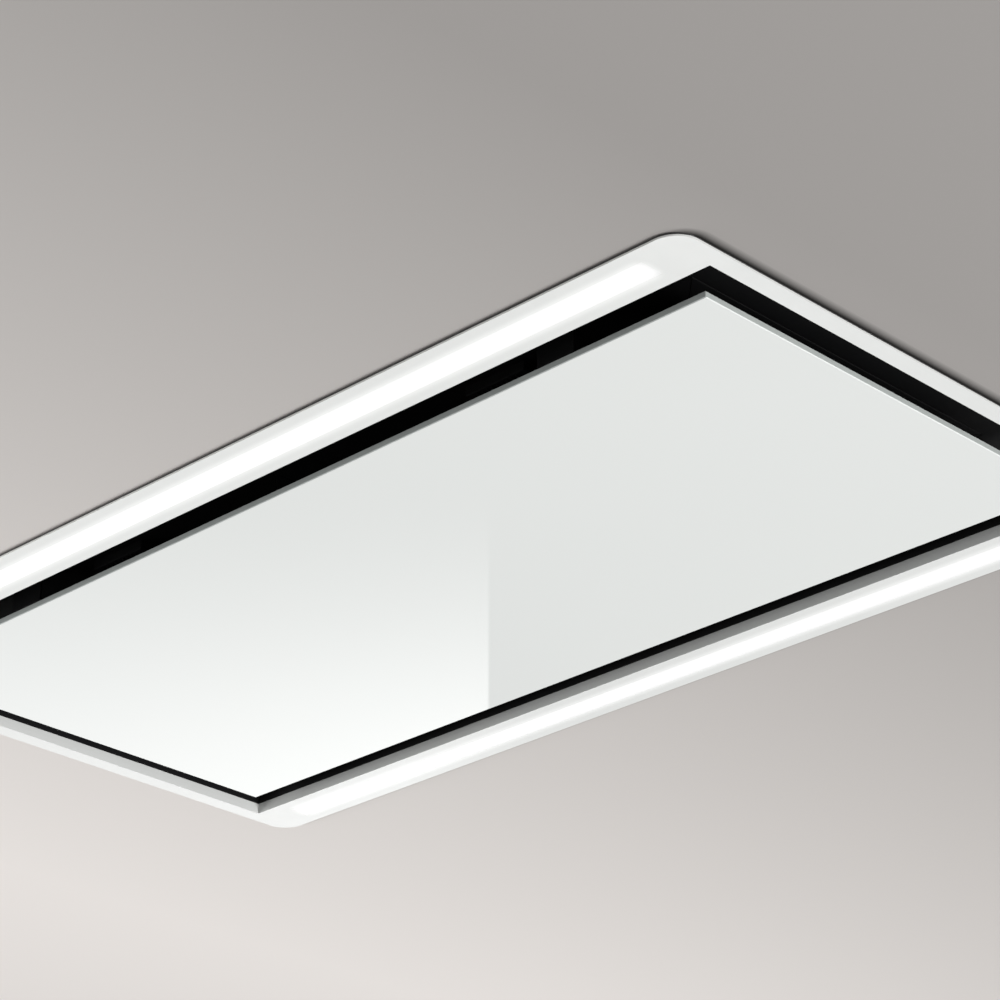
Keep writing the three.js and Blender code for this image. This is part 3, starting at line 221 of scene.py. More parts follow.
world = bpy.data.worlds.new("studio")
world.use_nodes = True
scene.world = world
surround = world.node_tree
direction = surround.nodes.new("ShaderNodeTexCoord").outputs["Generated"]
height = add_vector(surround, "DOT_PRODUCT", direction, (0, 0, 1), result="Value")
wall_turn = CAMERA_AZIMUTH + math.atan((PICTURE_WIDTH / 2 - WALL_EDGE_COLUMN) / FOCAL_PIXELS)
wall_left = (-math.cos(wall_turn), -math.sin(wall_turn), 0)
sideways = add_vector(surround, "DOT_PRODUCT", direction, wall_left, result="Value")
ray = surround.nodes.new("ShaderNodeLightPath")
even = add_span(surround, height, -HORIZON_SOFTNESS, HORIZON_SOFTNESS, LIGHT_BELOW, LIGHT_ABOVE)
mirrored = ray.outputs["Is Glossy Ray"]
for share in (
        add_span(surround, sideways, -WALL_EDGE_SOFTNESS, WALL_EDGE_SOFTNESS, 0, WALL_GLOW),
        add_span(surround, height, WALL_FOOT, WALL_TOP, 0, 1, smooth=True),
        add_span(surround, sideways, 0, WALL_LENGTH, 1, WALL_FAR_SHARE),
        add_number(surround, "LESS_THAN", height, 0)):
    mirrored = add_number(surround, "MULTIPLY", mirrored, share)
lighting = add_number(surround, "ADD", even, mirrored)
seen = surround.nodes.new("ShaderNodeMix")
seen.inputs["B"].default_value = BACKDROP
surround.links.new(ray.outputs["Is Camera Ray"], seen.inputs["Factor"])
surround.links.new(lighting, seen.inputs["A"])
surround.links.new(seen.outputs["Result"], surround.nodes["Background"].inputs["Strength"])
surround.nodes["Background"].inputs["Color"].default_value = (1, 1, 1, 1)

for name, towards, distance, size, power in LAMPS:
    lamp = bpy.data.lights.new(name, "AREA")
    lamp.size = size
    lamp.energy = power
    holder = bpy.data.objects.new(name, lamp)
    away = Vector(towards).normalized()
    holder.location = away * distance
    holder.rotation_euler = away.to_track_quat("Z", "Y").to_euler()
    scene.collection.objects.link(holder)


# ----------------------------------------
# Frame: mild steel sheet, pressed in one piece with a return wall round the opening
# and a slot for each lit strip, then powder coated in a satin white. The coat carries
# a painted glow that fades out a few millimetres past the strips.

WELD_DISTANCE = 1e-5
FLAT_ANGLE = math.radians(1)
EDGE_ANGLE = math.radians(30)
SMOOTH_ANGLE = math.radians(40)
SHEET_EDGE_RADIUS = 0.0005
WHITE_COAT = (0.745, 0.755, 0.740)
STRIP_CLEAR = 0.004
STRIP_CORE = 0.003
STRIP_FADE = 0.015
STRIP_GLOW = 0.30


def spots(material, size, stretch=(1, 1, 1)):
    """Noise on the piece's own coordinates, with spots about size metres wide."""
    tree = material.node_tree
    drawn_out = tree.nodes.new("ShaderNodeMapping")
    drawn_out.inputs["Scale"].default_value = stretch
    noise = tree.nodes.new("ShaderNodeTexNoise")
    noise.inputs["Scale"].default_value = 1 / size
    tree.links.new(own_point(tree), drawn_out.inputs["Vector"])
    tree.links.new(drawn_out.outputs["Vector"], noise.inputs["Vector"])
    return noise.outputs["Fac"]


def roughen(material, pattern, swing):
    """Lets a pattern raise and lower the roughness by up to swing."""
    tree = material.node_tree
    roughness = shader_inputs(material)["Roughness"]
    low, high = roughness.default_value - swing, roughness.default_value + swing
    tree.links.new(add_span(tree, pattern, PATTERN_LOW, PATTERN_HIGH, low, high), roughness)


def grain(material, pattern, depth):
    """Lets a pattern raise and lower the surface by up to depth metres."""
    tree = material.node_tree
    bump = tree.nodes.new("ShaderNodeBump")
    bump.inputs["Distance"].default_value = depth
    tree.links.new(pattern, bump.inputs["Height"])
    tree.links.new(bump.outputs["Normal"], shader_inputs(material)["Normal"])


def cad_copy(node):
    """The solid of a CAD node with its loose triangles merged into whole faces."""
    shape = bmesh.new()
    shape.from_mesh(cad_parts[node].data)
    bmesh.ops.remove_doubles(shape, verts=shape.verts, dist=WELD_DISTANCE)
    bmesh.ops.dissolve_limit(
        shape, angle_limit=FLAT_ANGLE, verts=shape.verts, edges=shape.edges)
    return shape


def round_edges(shape, radius, segments=2, chosen=None):
    """Rounds the sharp edges of a shape, or those that chosen picks among them."""
    edges = [
        edge for edge in shape.edges
        if edge.is_manifold and edge.calc_face_angle() > EDGE_ANGLE
        and (chosen is None or chosen(edge))
    ]
    bmesh.ops.bevel(
        shape, geom=edges, offset=radius, offset_type="OFFSET", segments=segments,
        profile=0.5, affect="EDGES", clamp_overlap=True, material=-1)


def place(name, shape, slot, *materials, body="casing", nodes=()):
    """Makes a piece of a finished shape, on its body, standing for its CAD nodes."""
    mesh = bpy.data.meshes.new(name)
    shape.to_mesh(mesh)
    shape.free()
    mesh.shade_smooth()
    mesh.set_sharp_from_angle(angle=SMOOTH_ANGLE)
    for material in materials:
        mesh.materials.append(material)
    piece = bpy.data.objects.new(name, mesh)
    scene.collection.objects.link(piece)
    even_faces = piece.modifiers.new("even_faces", "WEIGHTED_NORMAL")
    even_faces.keep_sharp = True
    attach(piece, body)
    if nodes:
        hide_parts(*nodes)


def powder_coat(name, colour, roughness, specular=0.5):
    """Sprayed coat: a fine orange peel, with the colour even to within a hair."""
    coat = finish(name, colour, roughness, specular=specular)
    tint(coat, spots(coat, 0.08), 0.985)
    roughen(coat, spots(coat, 0.012), 0.03)
    grain(coat, spots(coat, 0.0012), 0.00001)
    return coat


def add_strip_glow(material, floor, glow):
    """Emission that is strongest along both strips and fades out past their edges."""
    tree = material.node_tree
    # X counts from the strips' ends outwards, and Y from their middle both ways.
    folded = add_vector(tree, "ABSOLUTE", own_point(tree))
    past = add_vector(tree, "SUBTRACT", folded, (strip_end, strip_middle, 0))
    past = add_vector(tree, "ABSOLUTE", add_vector(tree, "MAXIMUM", past, (0, -1, 0)))
    past = add_vector(tree, "SUBTRACT", past, (0, STRIP_CORE, 0))
    past = add_vector(tree, "MAXIMUM", past, (0, 0, 0))
    distance = add_vector(
        tree, "LENGTH", add_vector(tree, "MULTIPLY", past, (1, 1, 0)), result="Value")
    strength = add_span(tree, distance, 0, STRIP_FADE, floor + glow, floor, smooth=True)
    inputs = shader_inputs(material)
    inputs["Emission Color"].default_value = (1, 1, 1, 1)
    tree.links.new(strength, inputs["Emission Strength"])


def middle_of(node):
    low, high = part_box(node)
    return (low + high) / 2


strip_low, strip_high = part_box("light_diffuser_far")
strip_middle = middle_of("light_diffuser_far").y
strip_end = strip_high.x - STRIP_CORE - STRIP_FADE / 2
white_coat = powder_coat("white_powder_coat", WHITE_COAT, 0.20)
# The white coat's emission round the strips is a painted glow: the coat is no lamp.
add_strip_glow(white_coat, 0, STRIP_GLOW)


def away_from_strips(edge):
    """True of the frame's edges that don't bound a slot for a lit strip."""
    across = [abs(vert.co.y) for vert in edge.verts]
    return (
        min(across) < strip_low.y - STRIP_CLEAR or max(across) > strip_high.y + STRIP_CLEAR)


pressed = cad_copy("frame")
round_edges(pressed, SHEET_EDGE_RADIUS, chosen=away_from_strips)
place("pressed_frame", pressed, "white_paint", white_coat, nodes=["frame"])


# ----------------------------------------
# Gasket: a band of dark grey closed-cell foam on the frame's back, pressed flat against
# the ceiling. With the shade of the gap it makes the thin dark line between the two, and
# its dark grey stands in for part of that shade.

FOAM_COLOUR = (0.09, 0.09, 0.09)


def dress(node, material):
    """Gives a CAD node that stays as it is its own finish."""
    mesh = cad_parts[node].data
    mesh.materials.clear()
    mesh.materials.append(material)


foam = finish("grey_foam", FOAM_COLOUR, 0.95, specular=0.1)
tint(foam, spots(foam, 0.0015), 0.75, 1.25)
grain(foam, spots(foam, 0.0008), 0.0002)
dress("frame_gasket", foam)


# ----------------------------------------
# Lit strips: an aluminium extrusion behind each slot of the frame holds a white board
# of light-emitting diodes, and an opal acrylic lens closes it flush with the frame.

LENS_SNUG = 0.00027
LENS_FACE_DEPTH = 0.0015
EXTRUSION_EDGE = 0.00025
OPAL_COLOUR = (0.60, 0.60, 0.595)
OPAL_FLOOR = 0.155
DIODE_PITCH = 0.0125
DIODE_SIZE = (0.0028, 0.0035, 0.0008)


def bare_metal(name, colour, roughness, lay):
    """Metal with fine lines along lay, as rolled, drawn or extruded stock has."""
    metal = finish(name, colour, roughness, metallic=1.0)
    lines = spots(metal, 0.0006, stretch=tuple(0.02 if axis else 1 for axis in lay))
    tint(metal, spots(metal, 0.03), 0.9)
    roughen(metal, lines, 0.07)
    grain(metal, lines, 0.000006)
    return metal


def moulded(name, colour, roughness, specular=0.5):
    """Injection-moulded plastic with the fine grain of a spark-eroded mould."""
    plastic = finish(name, colour, roughness, specular=specular)
    tint(plastic, spots(plastic, 0.02), 0.93)
    roughen(plastic, spots(plastic, 0.004), 0.05)
    grain(plastic, spots(plastic, 0.0005), 0.00003)
    return plastic


def add_box(shape, low, high):
    """A box between two corners."""
    low, high = Vector(low), Vector(high)
    corners = bmesh.ops.create_cube(shape, size=1)["verts"]
    bmesh.ops.scale(shape, vec=high - low, verts=corners)
    bmesh.ops.translate(shape, vec=(low + high) / 2, verts=corners)


def place_rounded(name, node, slot, material, radius, segments=2, body="casing"):
    """The CAD solid itself with its edges broken, in its finish."""
    shape = cad_copy(node)
    round_edges(shape, radius, segments)
    place(name, shape, slot, material, body=body, nodes=[node])


opal = finish("opal_acrylic", OPAL_COLOUR, 0.35)
add_strip_glow(opal, OPAL_FLOOR, STRIP_GLOW)
grain(opal, spots(opal, 0.0009), 0.000008)
extruded = bare_metal("extruded_aluminium", (0.58, 0.59, 0.60), 0.34, (1, 0, 0))
white_board = moulded("white_solder_mask", (0.78, 0.78, 0.76), 0.35)
diode_resin = finish("diode_resin", (0.80, 0.66, 0.20), 0.3)

for end in ("near", "far"):
    diffuser, board = f"light_diffuser_{end}", f"light_board_{end}"
    lens_shape = cad_copy(diffuser)
    lens_middle = middle_of(diffuser)
    for vert in lens_shape.verts:
        if vert.co.z < strip_low.z + LENS_FACE_DEPTH:
            vert.co.x += math.copysign(LENS_SNUG, vert.co.x)
            vert.co.y += math.copysign(LENS_SNUG, vert.co.y - lens_middle.y)
    place(f"opal_lens_{end}", lens_shape, "opal", opal, nodes=[diffuser])
    place_rounded(
        f"light_extrusion_{end}", f"light_channel_{end}", "aluminium", extruded, EXTRUSION_EDGE)
    dress(board, white_board)
    board_low, board_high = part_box(board)
    board_middle = middle_of(board)
    diodes = bmesh.new()
    count = int((board_high.x - board_low.x) / DIODE_PITCH) - 1
    for index in range(count):
        low = board_middle - Vector(DIODE_SIZE) / 2
        low.x += (index - (count - 1) / 2) * DIODE_PITCH
        low.z = board_low.z - DIODE_SIZE[2]
        add_box(diodes, low, low + Vector(DIODE_SIZE))
    place(f"diodes_{end}", diodes, "white_board", diode_resin)


# ----------------------------------------
# Glass panel: 5 mm toughened float glass, painted white on its back, with a ground
# and polished edge that looks grey because it shows the depth of the glass.

GLASS_ARRIS = 0.0006
GLASS_COLOUR = (0.752, 0.770, 0.754)
GLASS_EDGE_COLOUR = (0.50, 0.53, 0.515)
GLASS_INDEX = 1.52


def side_faces(shape):
    """The faces of a flat piece that look neither up nor down."""
    return [face for face in shape.faces if abs(face.normal.z) < 0.5]


glass_paint = finish("painted_glass", GLASS_COLOUR, 0.011)
shader_inputs(glass_paint)["IOR"].default_value = GLASS_INDEX
tint(glass_paint, spots(glass_paint, 0.25), 0.995)
roughen(glass_paint, spots(glass_paint, 0.05), 0.003)
glass_edge = finish("ground_glass_edge", GLASS_EDGE_COLOUR, 0.22)
shader_inputs(glass_edge)["IOR"].default_value = GLASS_INDEX
tint(glass_edge, spots(glass_edge, 0.01), 0.94)
grain(glass_edge, spots(glass_edge, 0.0006), 0.00001)
pane = cad_copy("panel_glass")
pane.normal_update()
for face in side_faces(pane):
    face.material_index = 1
round_edges(pane, GLASS_ARRIS, segments=1)
place(
    "painted_pane", pane, "white_glass", glass_paint, glass_edge, body="panel",
    nodes=["panel_glass"])


# ----------------------------------------
# Tray: black coated steel sheet, 1 mm, folded up all round and pressed with three
# long beads so that it stays flat. Adhesive bonds it to the back of the glass.

TRAY_SHEET = 0.001
TRAY_BEND = 0.002
TRAY_CORNER = 0.006
TRAY_BORDER = 0.012
TRAY_BEAD_HALF = (0.38, 0.011)
TRAY_BEAD_RISE = 0.0014
TRAY_BEAD_PITCH = 0.085
BEAD_SECTION = ((0.0, 0.0), (0.15, 0.35), (0.32, 0.85), (0.50, 1.0))
BLACK_COAT = (0.0065, 0.0065, 0.007)


def add_outline(shape, middle, half_x, half_y, radius, level=0.0, steps=16):
    """A flat rectangle with round corners. A radius of half its width makes a capsule."""
    start = Matrix.Rotation(math.pi / steps, 4, "Z")
    ring = bmesh.ops.create_circle(shape, segments=steps, radius=1, matrix=start)["verts"]
    for vert in ring:
        vert.co.x = middle[0] + math.copysign(half_x - radius, vert.co.x) + radius * vert.co.x
        vert.co.y = middle[1] + math.copysign(half_y - radius, vert.co.y) + radius * vert.co.y
        vert.co.z = level
    return list(dict.fromkeys(edge for vert in ring for edge in vert.link_edges))


def fill_between(shape, *outlines):
    """Flat sheet inside the first outline and outside the others."""
    edges = [edge for outline in outlines for edge in outline]
    bmesh.ops.triangle_fill(shape, use_beauty=True, edges=edges)


def skin_over(shape, rings):
    """Sheet from each ring to the next and over the last. The first ring is returned."""
    for lower, upper in zip(rings, rings[1:]):
        bmesh.ops.bridge_loops(shape, edges=lower + upper)
    fill_between(shape, rings[-1])
    return rings[0]


def add_bead(shape, middle, half_x, half_y, rise):
    """A pressed bead, from its foot to its flat top. The edges of its foot are returned."""
    radius = min(half_x, half_y)
    return skin_over(shape, [
        add_outline(
            shape, middle, half_x - radius * inset, half_y - radius * inset,
            radius * (1 - inset), rise * share)
        for inset, share in BEAD_SECTION])


def add_border(shape, middle, half_x, half_y, radius, width, steps=16):
    """A flat band of sheet along an outline. The edges inside it are returned."""
    outer, inner = (
        add_outline(shape, middle, half_x - inset, half_y - inset, radius, steps=steps)
        for inset in (0, width))
    bmesh.ops.bridge_loops(shape, edges=outer + inner)
    return inner


def raise_rim(shape, edges, offset):
    """Folds a strip of sheet up from some edges."""
    strip = bmesh.ops.extrude_edge_only(shape, edges=edges)["geom"]
    top = [item for item in strip if isinstance(item, bmesh.types.BMVert)]
    bmesh.ops.translate(shape, vec=offset, verts=top)


def thicken(shape, thickness):
    """Gives a skin the thickness of its sheet, on the side away from its faces."""
    bmesh.ops.recalc_face_normals(shape, faces=shape.faces)
    bmesh.ops.solidify(shape, geom=shape.faces, thickness=thickness)


black_coat = powder_coat("black_powder_coat", BLACK_COAT, 0.62, specular=0.2)
tray_low, tray_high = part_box("panel_tray")
tray = bmesh.new()
inner = add_border(
    tray, (0, 0), tray_high.x, tray_high.y, TRAY_CORNER, TRAY_BORDER, steps=24)
tray_beads = [
    add_bead(tray, (0, row * TRAY_BEAD_PITCH), *TRAY_BEAD_HALF, TRAY_BEAD_RISE)
    for row in (-1, 0, 1)
]
fill_between(tray, inner, *tray_beads)
bend = [edge for edge in tray.edges if edge.is_boundary]
raise_rim(tray, bend, (0, 0, tray_high.z - tray_low.z))
round_edges(tray, TRAY_BEND, segments=3, chosen=lambda edge: edge in bend)
thicken(tray, TRAY_SHEET)
bmesh.ops.translate(tray, vec=(0, 0, tray_low.z), verts=tray.verts)
place("folded_tray", tray, "black_sheet", black_coat, body="panel", nodes=["panel_tray"])


# ----------------------------------------
# Hinges: a zinc plated arm screwed to the tray turns on a pin between the cheeks of a
# black bracket that hangs from the deck. Both are pressed from steel plate.

PLATE_EDGE = 0.0004
HINGE_PLATE = 0.002
HINGE_SCREW = 0.0028
ARM_SCREW_X = 0.0075
ARM_SCREW_INSET = 0.007
BRACKET_SCREW_X = 0.0103
BRACKET_SCREW_Y = 0.010
SCREW_SINK = -0.0002
PAN_HEAD = (
    (0, 0.18), (0.40, 0.18), (0.46, 0.66), (0.72, 0.62), (0.93, 0.42), (1, 0.12))
RECESS_LOBES = 6
RECESS_REACH = (0.1, 0.5)
RECESS_WAIST = 0.74
SCREW_TURN = 0.7


def turned(profile, steps=24):
    """A body turned about Z from the (radius, height) points of its section."""
    shape = bmesh.new()
    points = [shape.verts.new((radius, 0, height)) for radius, height in profile]
    lines = [shape.edges.new(pair) for pair in zip(points, points[1:])]
    bmesh.ops.spin(
        shape, geom=points + lines, cent=(0, 0, 0), axis=(0, 0, 1), angle=2 * math.pi,
        steps=steps, use_merge=True)
    bmesh.ops.remove_doubles(shape, verts=shape.verts, dist=WELD_DISTANCE / 10)
    bmesh.ops.recalc_face_normals(shape, faces=shape.faces)
    return shape


def standing(seat, outward=(0, 0, 1), turn=0.0):
    """The place of a small part that stands on seat and points outward."""
    facing = Vector(outward).to_track_quat("Z", "Y").to_matrix().to_4x4()
    return Matrix.Translation(seat) @ facing @ Matrix.Rotation(turn, 4, "Z")


def add_copies(shape, pattern, places, material=0):
    """Adds copies of a small finished shape at each of places."""
    mesh = bpy.data.meshes.new("pattern")
    pattern.to_mesh(mesh)
    pattern.free()
    for where in places:
        old_verts, old_faces = set(shape.verts), set(shape.faces)
        shape.from_mesh(mesh)
        added = [vert for vert in shape.verts if vert not in old_verts]
        bmesh.ops.transform(shape, matrix=where, verts=added)
        for face in shape.faces:
            if face not in old_faces:
                face.material_index = material
    bpy.data.meshes.remove(mesh)


def pan_head(radius):
    """A pan-head screw with a six-lobed recess. It stands on the plane of its local Z."""
    profile = [(across * radius, height * radius) for across, height in PAN_HEAD]
    profile += [(radius, SCREW_SINK), (0, SCREW_SINK)]
    head = turned(profile, steps=2 * RECESS_LOBES)
    nearest, furthest = (radius * reach for reach in RECESS_REACH)
    for vert in head.verts:
        between = round(math.atan2(vert.co.y, vert.co.x) / math.pi * RECESS_LOBES) % 2
        if between and nearest < vert.co.xy.length < furthest:
            vert.co.xy *= RECESS_WAIST
    return head


def place_screws(name, radius, seats, outward=(0, 0, 1), body="casing"):
    """A group of like screws as one piece."""
    group = bmesh.new()
    places = [standing(seat, outward, turn=index * SCREW_TURN) for index, seat in enumerate(seats)]
    add_copies(group, pan_head(radius), places)
    place(name, group, "steel", zinc, body=body)


zinc = bare_metal("zinc_plated_steel", (0.50, 0.51, 0.51), 0.32, (0, 0, 1))
for side in ("left", "right"):
    arm, bracket = f"hinge_arm_{side}", f"hinge_bracket_{side}"
    foot_low, foot_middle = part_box(arm)[0], middle_of(arm)
    bracket_high, bracket_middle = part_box(bracket)[1], middle_of(bracket)
    place_rounded(f"hinge_knuckle_{side}", arm, "steel", zinc, PLATE_EDGE, body="panel")
    place_rounded(f"hinge_cheeks_{side}", bracket, "black_sheet", black_coat, PLATE_EDGE)
    place_rounded(f"hinge_rivet_{side}", f"hinge_pin_{side}", "steel", zinc, PLATE_EDGE)
    place_screws(
        f"hinge_arm_screws_{side}", HINGE_SCREW,
        [(foot_middle.x + step * ARM_SCREW_X, foot_low.y + ARM_SCREW_INSET,
          foot_low.z + HINGE_PLATE) for step in (-1, 1)],
        body="panel")
    place_screws(
        f"hinge_bracket_screws_{side}", HINGE_SCREW,
        [(foot_middle.x + step * BRACKET_SCREW_X, bracket_middle.y + row * BRACKET_SCREW_Y,
          bracket_high.z - HINGE_PLATE) for step in (-1, 1) for row in (-1, 1)],
        outward=(0, 0, -1))


# ----------------------------------------
# Catches: a ferrite magnet under a folded black post holds a steel keeper, blackened
# and spot-welded to the tray. Two screws fix each post to the deck.

POST_SHEET = 0.002
CATCH_SCREW_X = 0.011
CATCH_SCREW_INSET = 0.008
MAGNET_EDGE = 0.0006
FERRITE_COLOUR = (0.008, 0.008, 0.0085)

ferrite = finish("ferrite", FERRITE_COLOUR, 0.7, specular=0.2)
tint(ferrite, spots(ferrite, 0.003), 0.75, 1.25)
grain(ferrite, spots(ferrite, 0.0007), 0.00003)
for side in ("left", "right"):
    post = f"catch_post_{side}"
    post_low, post_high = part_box(post)
    post_middle = middle_of(post)
    place_rounded(f"magnet_post_{side}", post, "black_sheet", black_coat, PLATE_EDGE)
    place_rounded(
        f"magnet_block_{side}", f"catch_magnet_{side}", "magnet", ferrite, MAGNET_EDGE)
    place_rounded(
        f"steel_keeper_{side}", f"catch_keeper_{side}", "steel", black_coat, PLATE_EDGE,
        body="panel")
    place_screws(
        f"catch_screws_{side}", HINGE_SCREW,
        [(post_middle.x + step * CATCH_SCREW_X, post_low.y + CATCH_SCREW_INSET,
          post_high.z - POST_SHEET) for step in (-1, 1)],
        outward=(0, 0, -1))


# ----------------------------------------
# Deck: black coated steel sheet, folded to a shallow box above the slot, with an
# opening for each filter. It is what shows, quite black, in the slot.

place_rounded("folded_deck", "deck", "black_sheet", black_coat, PLATE_EDGE)


# ----------------------------------------
# Grease filters: four mitred bars of black coated aluminium round a pad of expanded
# aluminium mesh. Two tongues hook over the deck and a sprung bolt holds the near bar.

MITRE_GAP = 0.0001
FILTER_EDGE = 0.0008
DIAMOND = (0.014, 0.008)
STRAND = 0.0009
STRAND_TIP = 0.0005
LEAST_OPEN = 0.4
MESH_LAYERS = ((0.0012, 1), (0.0052, -1))
BOLT_EDGE = 0.0007
GRIP_RIBS = 9
GRIP_PITCH = 0.005
GRIP_INSET = 0.007
GRIP_RIB = ((-0.0009, -0.005, -0.0007), (0.0009, 0.005, 0.0005))
GRIP_RIB_EDGE = 0.0004


def cut_away(shape, point, outward):
    """Cuts off what lies outward of a plane through a point."""
    bmesh.ops.bisect_plane(
        shape, geom=shape.verts[:] + shape.edges[:] + shape.faces[:], plane_co=point,
        plane_no=outward, clear_outer=True)


def add_expanded_metal(shape, middle, half_x, half_y, level, lean):
    """A flat sheet slit and drawn out into diamonds, with its strands tipped by lean."""
    sheet_part = bmesh.new()
    long_way, short_way = DIAMOND
    cells = math.ceil(half_x / long_way + half_y / short_way)
    bmesh.ops.create_grid(sheet_part, x_segments=2 * cells, y_segments=2 * cells, size=cells)
    spread = Matrix.Diagonal((long_way / math.sqrt(2), short_way / math.sqrt(2), 1, 1))
    bmesh.ops.transform(
        sheet_part, matrix=spread @ Matrix.Rotation(math.radians(45), 4, "Z"),
        verts=sheet_part.verts)
    for side_x, side_y in ((1, 0), (-1, 0), (0, 1), (0, -1)):
        cut_away(sheet_part, (side_x * half_x, side_y * half_y, 0), (side_x, side_y, 0))
    least = LEAST_OPEN * long_way * short_way / 2
    whole = [face for face in sheet_part.faces if face.calc_area() > least]
    bmesh.ops.inset_individual(sheet_part, faces=whole, thickness=STRAND / 2)
    bmesh.ops.delete(sheet_part, geom=whole, context="FACES")
    for vert in sheet_part.verts:
        vert.co.z = lean * STRAND_TIP * math.sin(2 * math.pi * vert.co.y / short_way)
    thicken(sheet_part, STRAND)
    add_copies(shape, sheet_part, [Matrix.Translation((*middle, level))])


coated_bar = powder_coat("black_anodised_bar", (0.0075, 0.0075, 0.008), 0.6, specular=0.2)
mesh_metal = bare_metal("expanded_aluminium", (0.55, 0.56, 0.57), 0.35, (1, 0, 0))
black_plastic = moulded("black_moulding", (0.014, 0.014, 0.016), 0.5)
bolt_plastic = moulded("matt_black_moulding", (0.007, 0.007, 0.0075), 0.7, specular=0.2)
for side in ("left", "right"):
    frame_node, mesh_node, latch_node = (
        f"filter_{name}_{side}" for name in ("frame", "mesh", "latch"))
    bar_low, bar_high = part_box(frame_node)
    pad_low, pad_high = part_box(mesh_node)
    half_x = (bar_high.x - bar_low.x) / 2
    # The tongues stand out past the far bar, so the near one gives the width.
    half_y = -bar_low.y
    middle_x = middle_of(frame_node).x
    bars = bmesh.new()
    for outward, half_out, half_along in (
            ((1, 0), half_x, half_y), ((-1, 0), half_x, half_y),
            ((0, 1), half_y, half_x), ((0, -1), half_y, half_x)):
        bar = cad_copy(frame_node)
        bmesh.ops.translate(bar, vec=(-middle_x, 0, 0), verts=bar.verts)
        for turn_side in (-1, 1):
            mitre = Vector((
                outward[0] - turn_side * outward[1], outward[1] + turn_side * outward[0], 0))
            mitre.normalize()
            start = (half_out - half_along) / math.sqrt(2) + MITRE_GAP
            cut_away(bar, mitre * start, -mitre)
            bmesh.ops.holes_fill(bar, edges=bar.edges, sides=0)
        round_edges(bar, FILTER_EDGE)
        add_copies(bars, bar, [Matrix.Translation((middle_x, 0, 0))])
    place(f"mitred_bars_{side}", bars, "black_aluminium", coated_bar, nodes=[frame_node])
    pad = bmesh.new()
    for rise, lean in MESH_LAYERS:
        add_expanded_metal(
            pad, (middle_x, 0), pad_high.x - middle_x, pad_high.y, pad_low.z + rise, lean)
    place(f"mesh_pad_{side}", pad, "filter_mesh", mesh_metal, nodes=[mesh_node])
    bolt = cad_copy(latch_node)
    round_edges(bolt, BOLT_EDGE)
    bolt_low, bolt_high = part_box(latch_node)
    ridge = bmesh.new()
    add_box(ridge, *GRIP_RIB)
    round_edges(ridge, GRIP_RIB_EDGE)
    first_rib = middle_x - (GRIP_RIBS - 1) / 2 * GRIP_PITCH
    add_copies(bolt, ridge, [
        Matrix.Translation((first_rib + rib * GRIP_PITCH, bolt_high.y - GRIP_INSET, bolt_low.z))
        for rib in range(GRIP_RIBS)])
    place(
        f"sprung_bolt_{side}", bolt, "black_plastic", bolt_plastic, body=f"latch_{side}",
        nodes=[latch_node])


# ----------------------------------------
# Casing walls: galvanised sheet, 1.2 mm, folded to a rectangle with a lip round the
# top. Upright beads are pressed inwards, and rivets hold the deck's rim inside.

CASING_SHEET = 0.0012
WALL_LIP = 0.014
WALL_STRIP = 0.008
WALL_BEND = 0.0022
WALL_BEND_LENGTH = 0.15
WALL_BEAD_MIDDLE = 0.124
WALL_BEAD_HALF = (0.007, 0.054)
WALL_BEAD_RISE = -0.0030
END_BEADS = (-0.18, -0.09, 0.0, 0.09, 0.18)
NEAR_BEADS = (-0.40, -0.30, -0.20, -0.10, 0.0, 0.10, 0.20, 0.30, 0.40)
FAR_BEADS = (-0.40, -0.32, -0.24, 0.24, 0.32, 0.40)
RIVET_HEIGHT = 0.0522
RIVET = ((0, 0.0012), (0.0014, 0.00105), (0.0024, 0.0006), (0.003, -0.0001), (0, -0.0001))
LONG_SIDE_RIVETS = (-0.45, -0.27, -0.09, 0.09, 0.27, 0.45)
END_RIVETS = (-0.22, 0.0, 0.22)
DUCT_WALL = 0.002
SPANGLE = 0.011


def galvanised_sheet(name, colour, roughness):
    """Hot-dip zinc: flat crystals a centimetre wide, each with its own shade and gloss."""
    metal = finish(name, colour, roughness, metallic=1.0)
    tree = metal.node_tree
    crystals = tree.nodes.new("ShaderNodeTexVoronoi")
    crystals.inputs["Scale"].default_value = 1 / SPANGLE
    shades = tree.nodes.new("ShaderNodeSeparateColor")
    tree.links.new(own_point(tree), crystals.inputs["Vector"])
    tree.links.new(crystals.outputs["Color"], shades.inputs["Color"])
    tint(metal, shades.outputs["Red"], 0.88)
    roughen(metal, shades.outputs["Green"], 0.06)
    grain(metal, spots(metal, 0.0025), 0.000008)
    return metal


def wall_skin(half_length, bead_places, opening=None):
    """One wall, flat in X and Y, with X along it and Y up. Its outside looks to +Z."""
    skin = bmesh.new()
    middle = (0, (wall_low.z + wall_high.z) / 2)
    half_height = (wall_high.z - wall_low.z) / 2
    inner = add_border(skin, middle, half_length, half_height, 0, WALL_STRIP, steps=4)
    feet = [
        add_bead(skin, (along, WALL_BEAD_MIDDLE), *WALL_BEAD_HALF, WALL_BEAD_RISE)
        for along in bead_places
    ]
    if opening:
        feet.append(add_outline(skin, *opening, 0, steps=4))
    fill_between(skin, inner, *feet)
    return skin


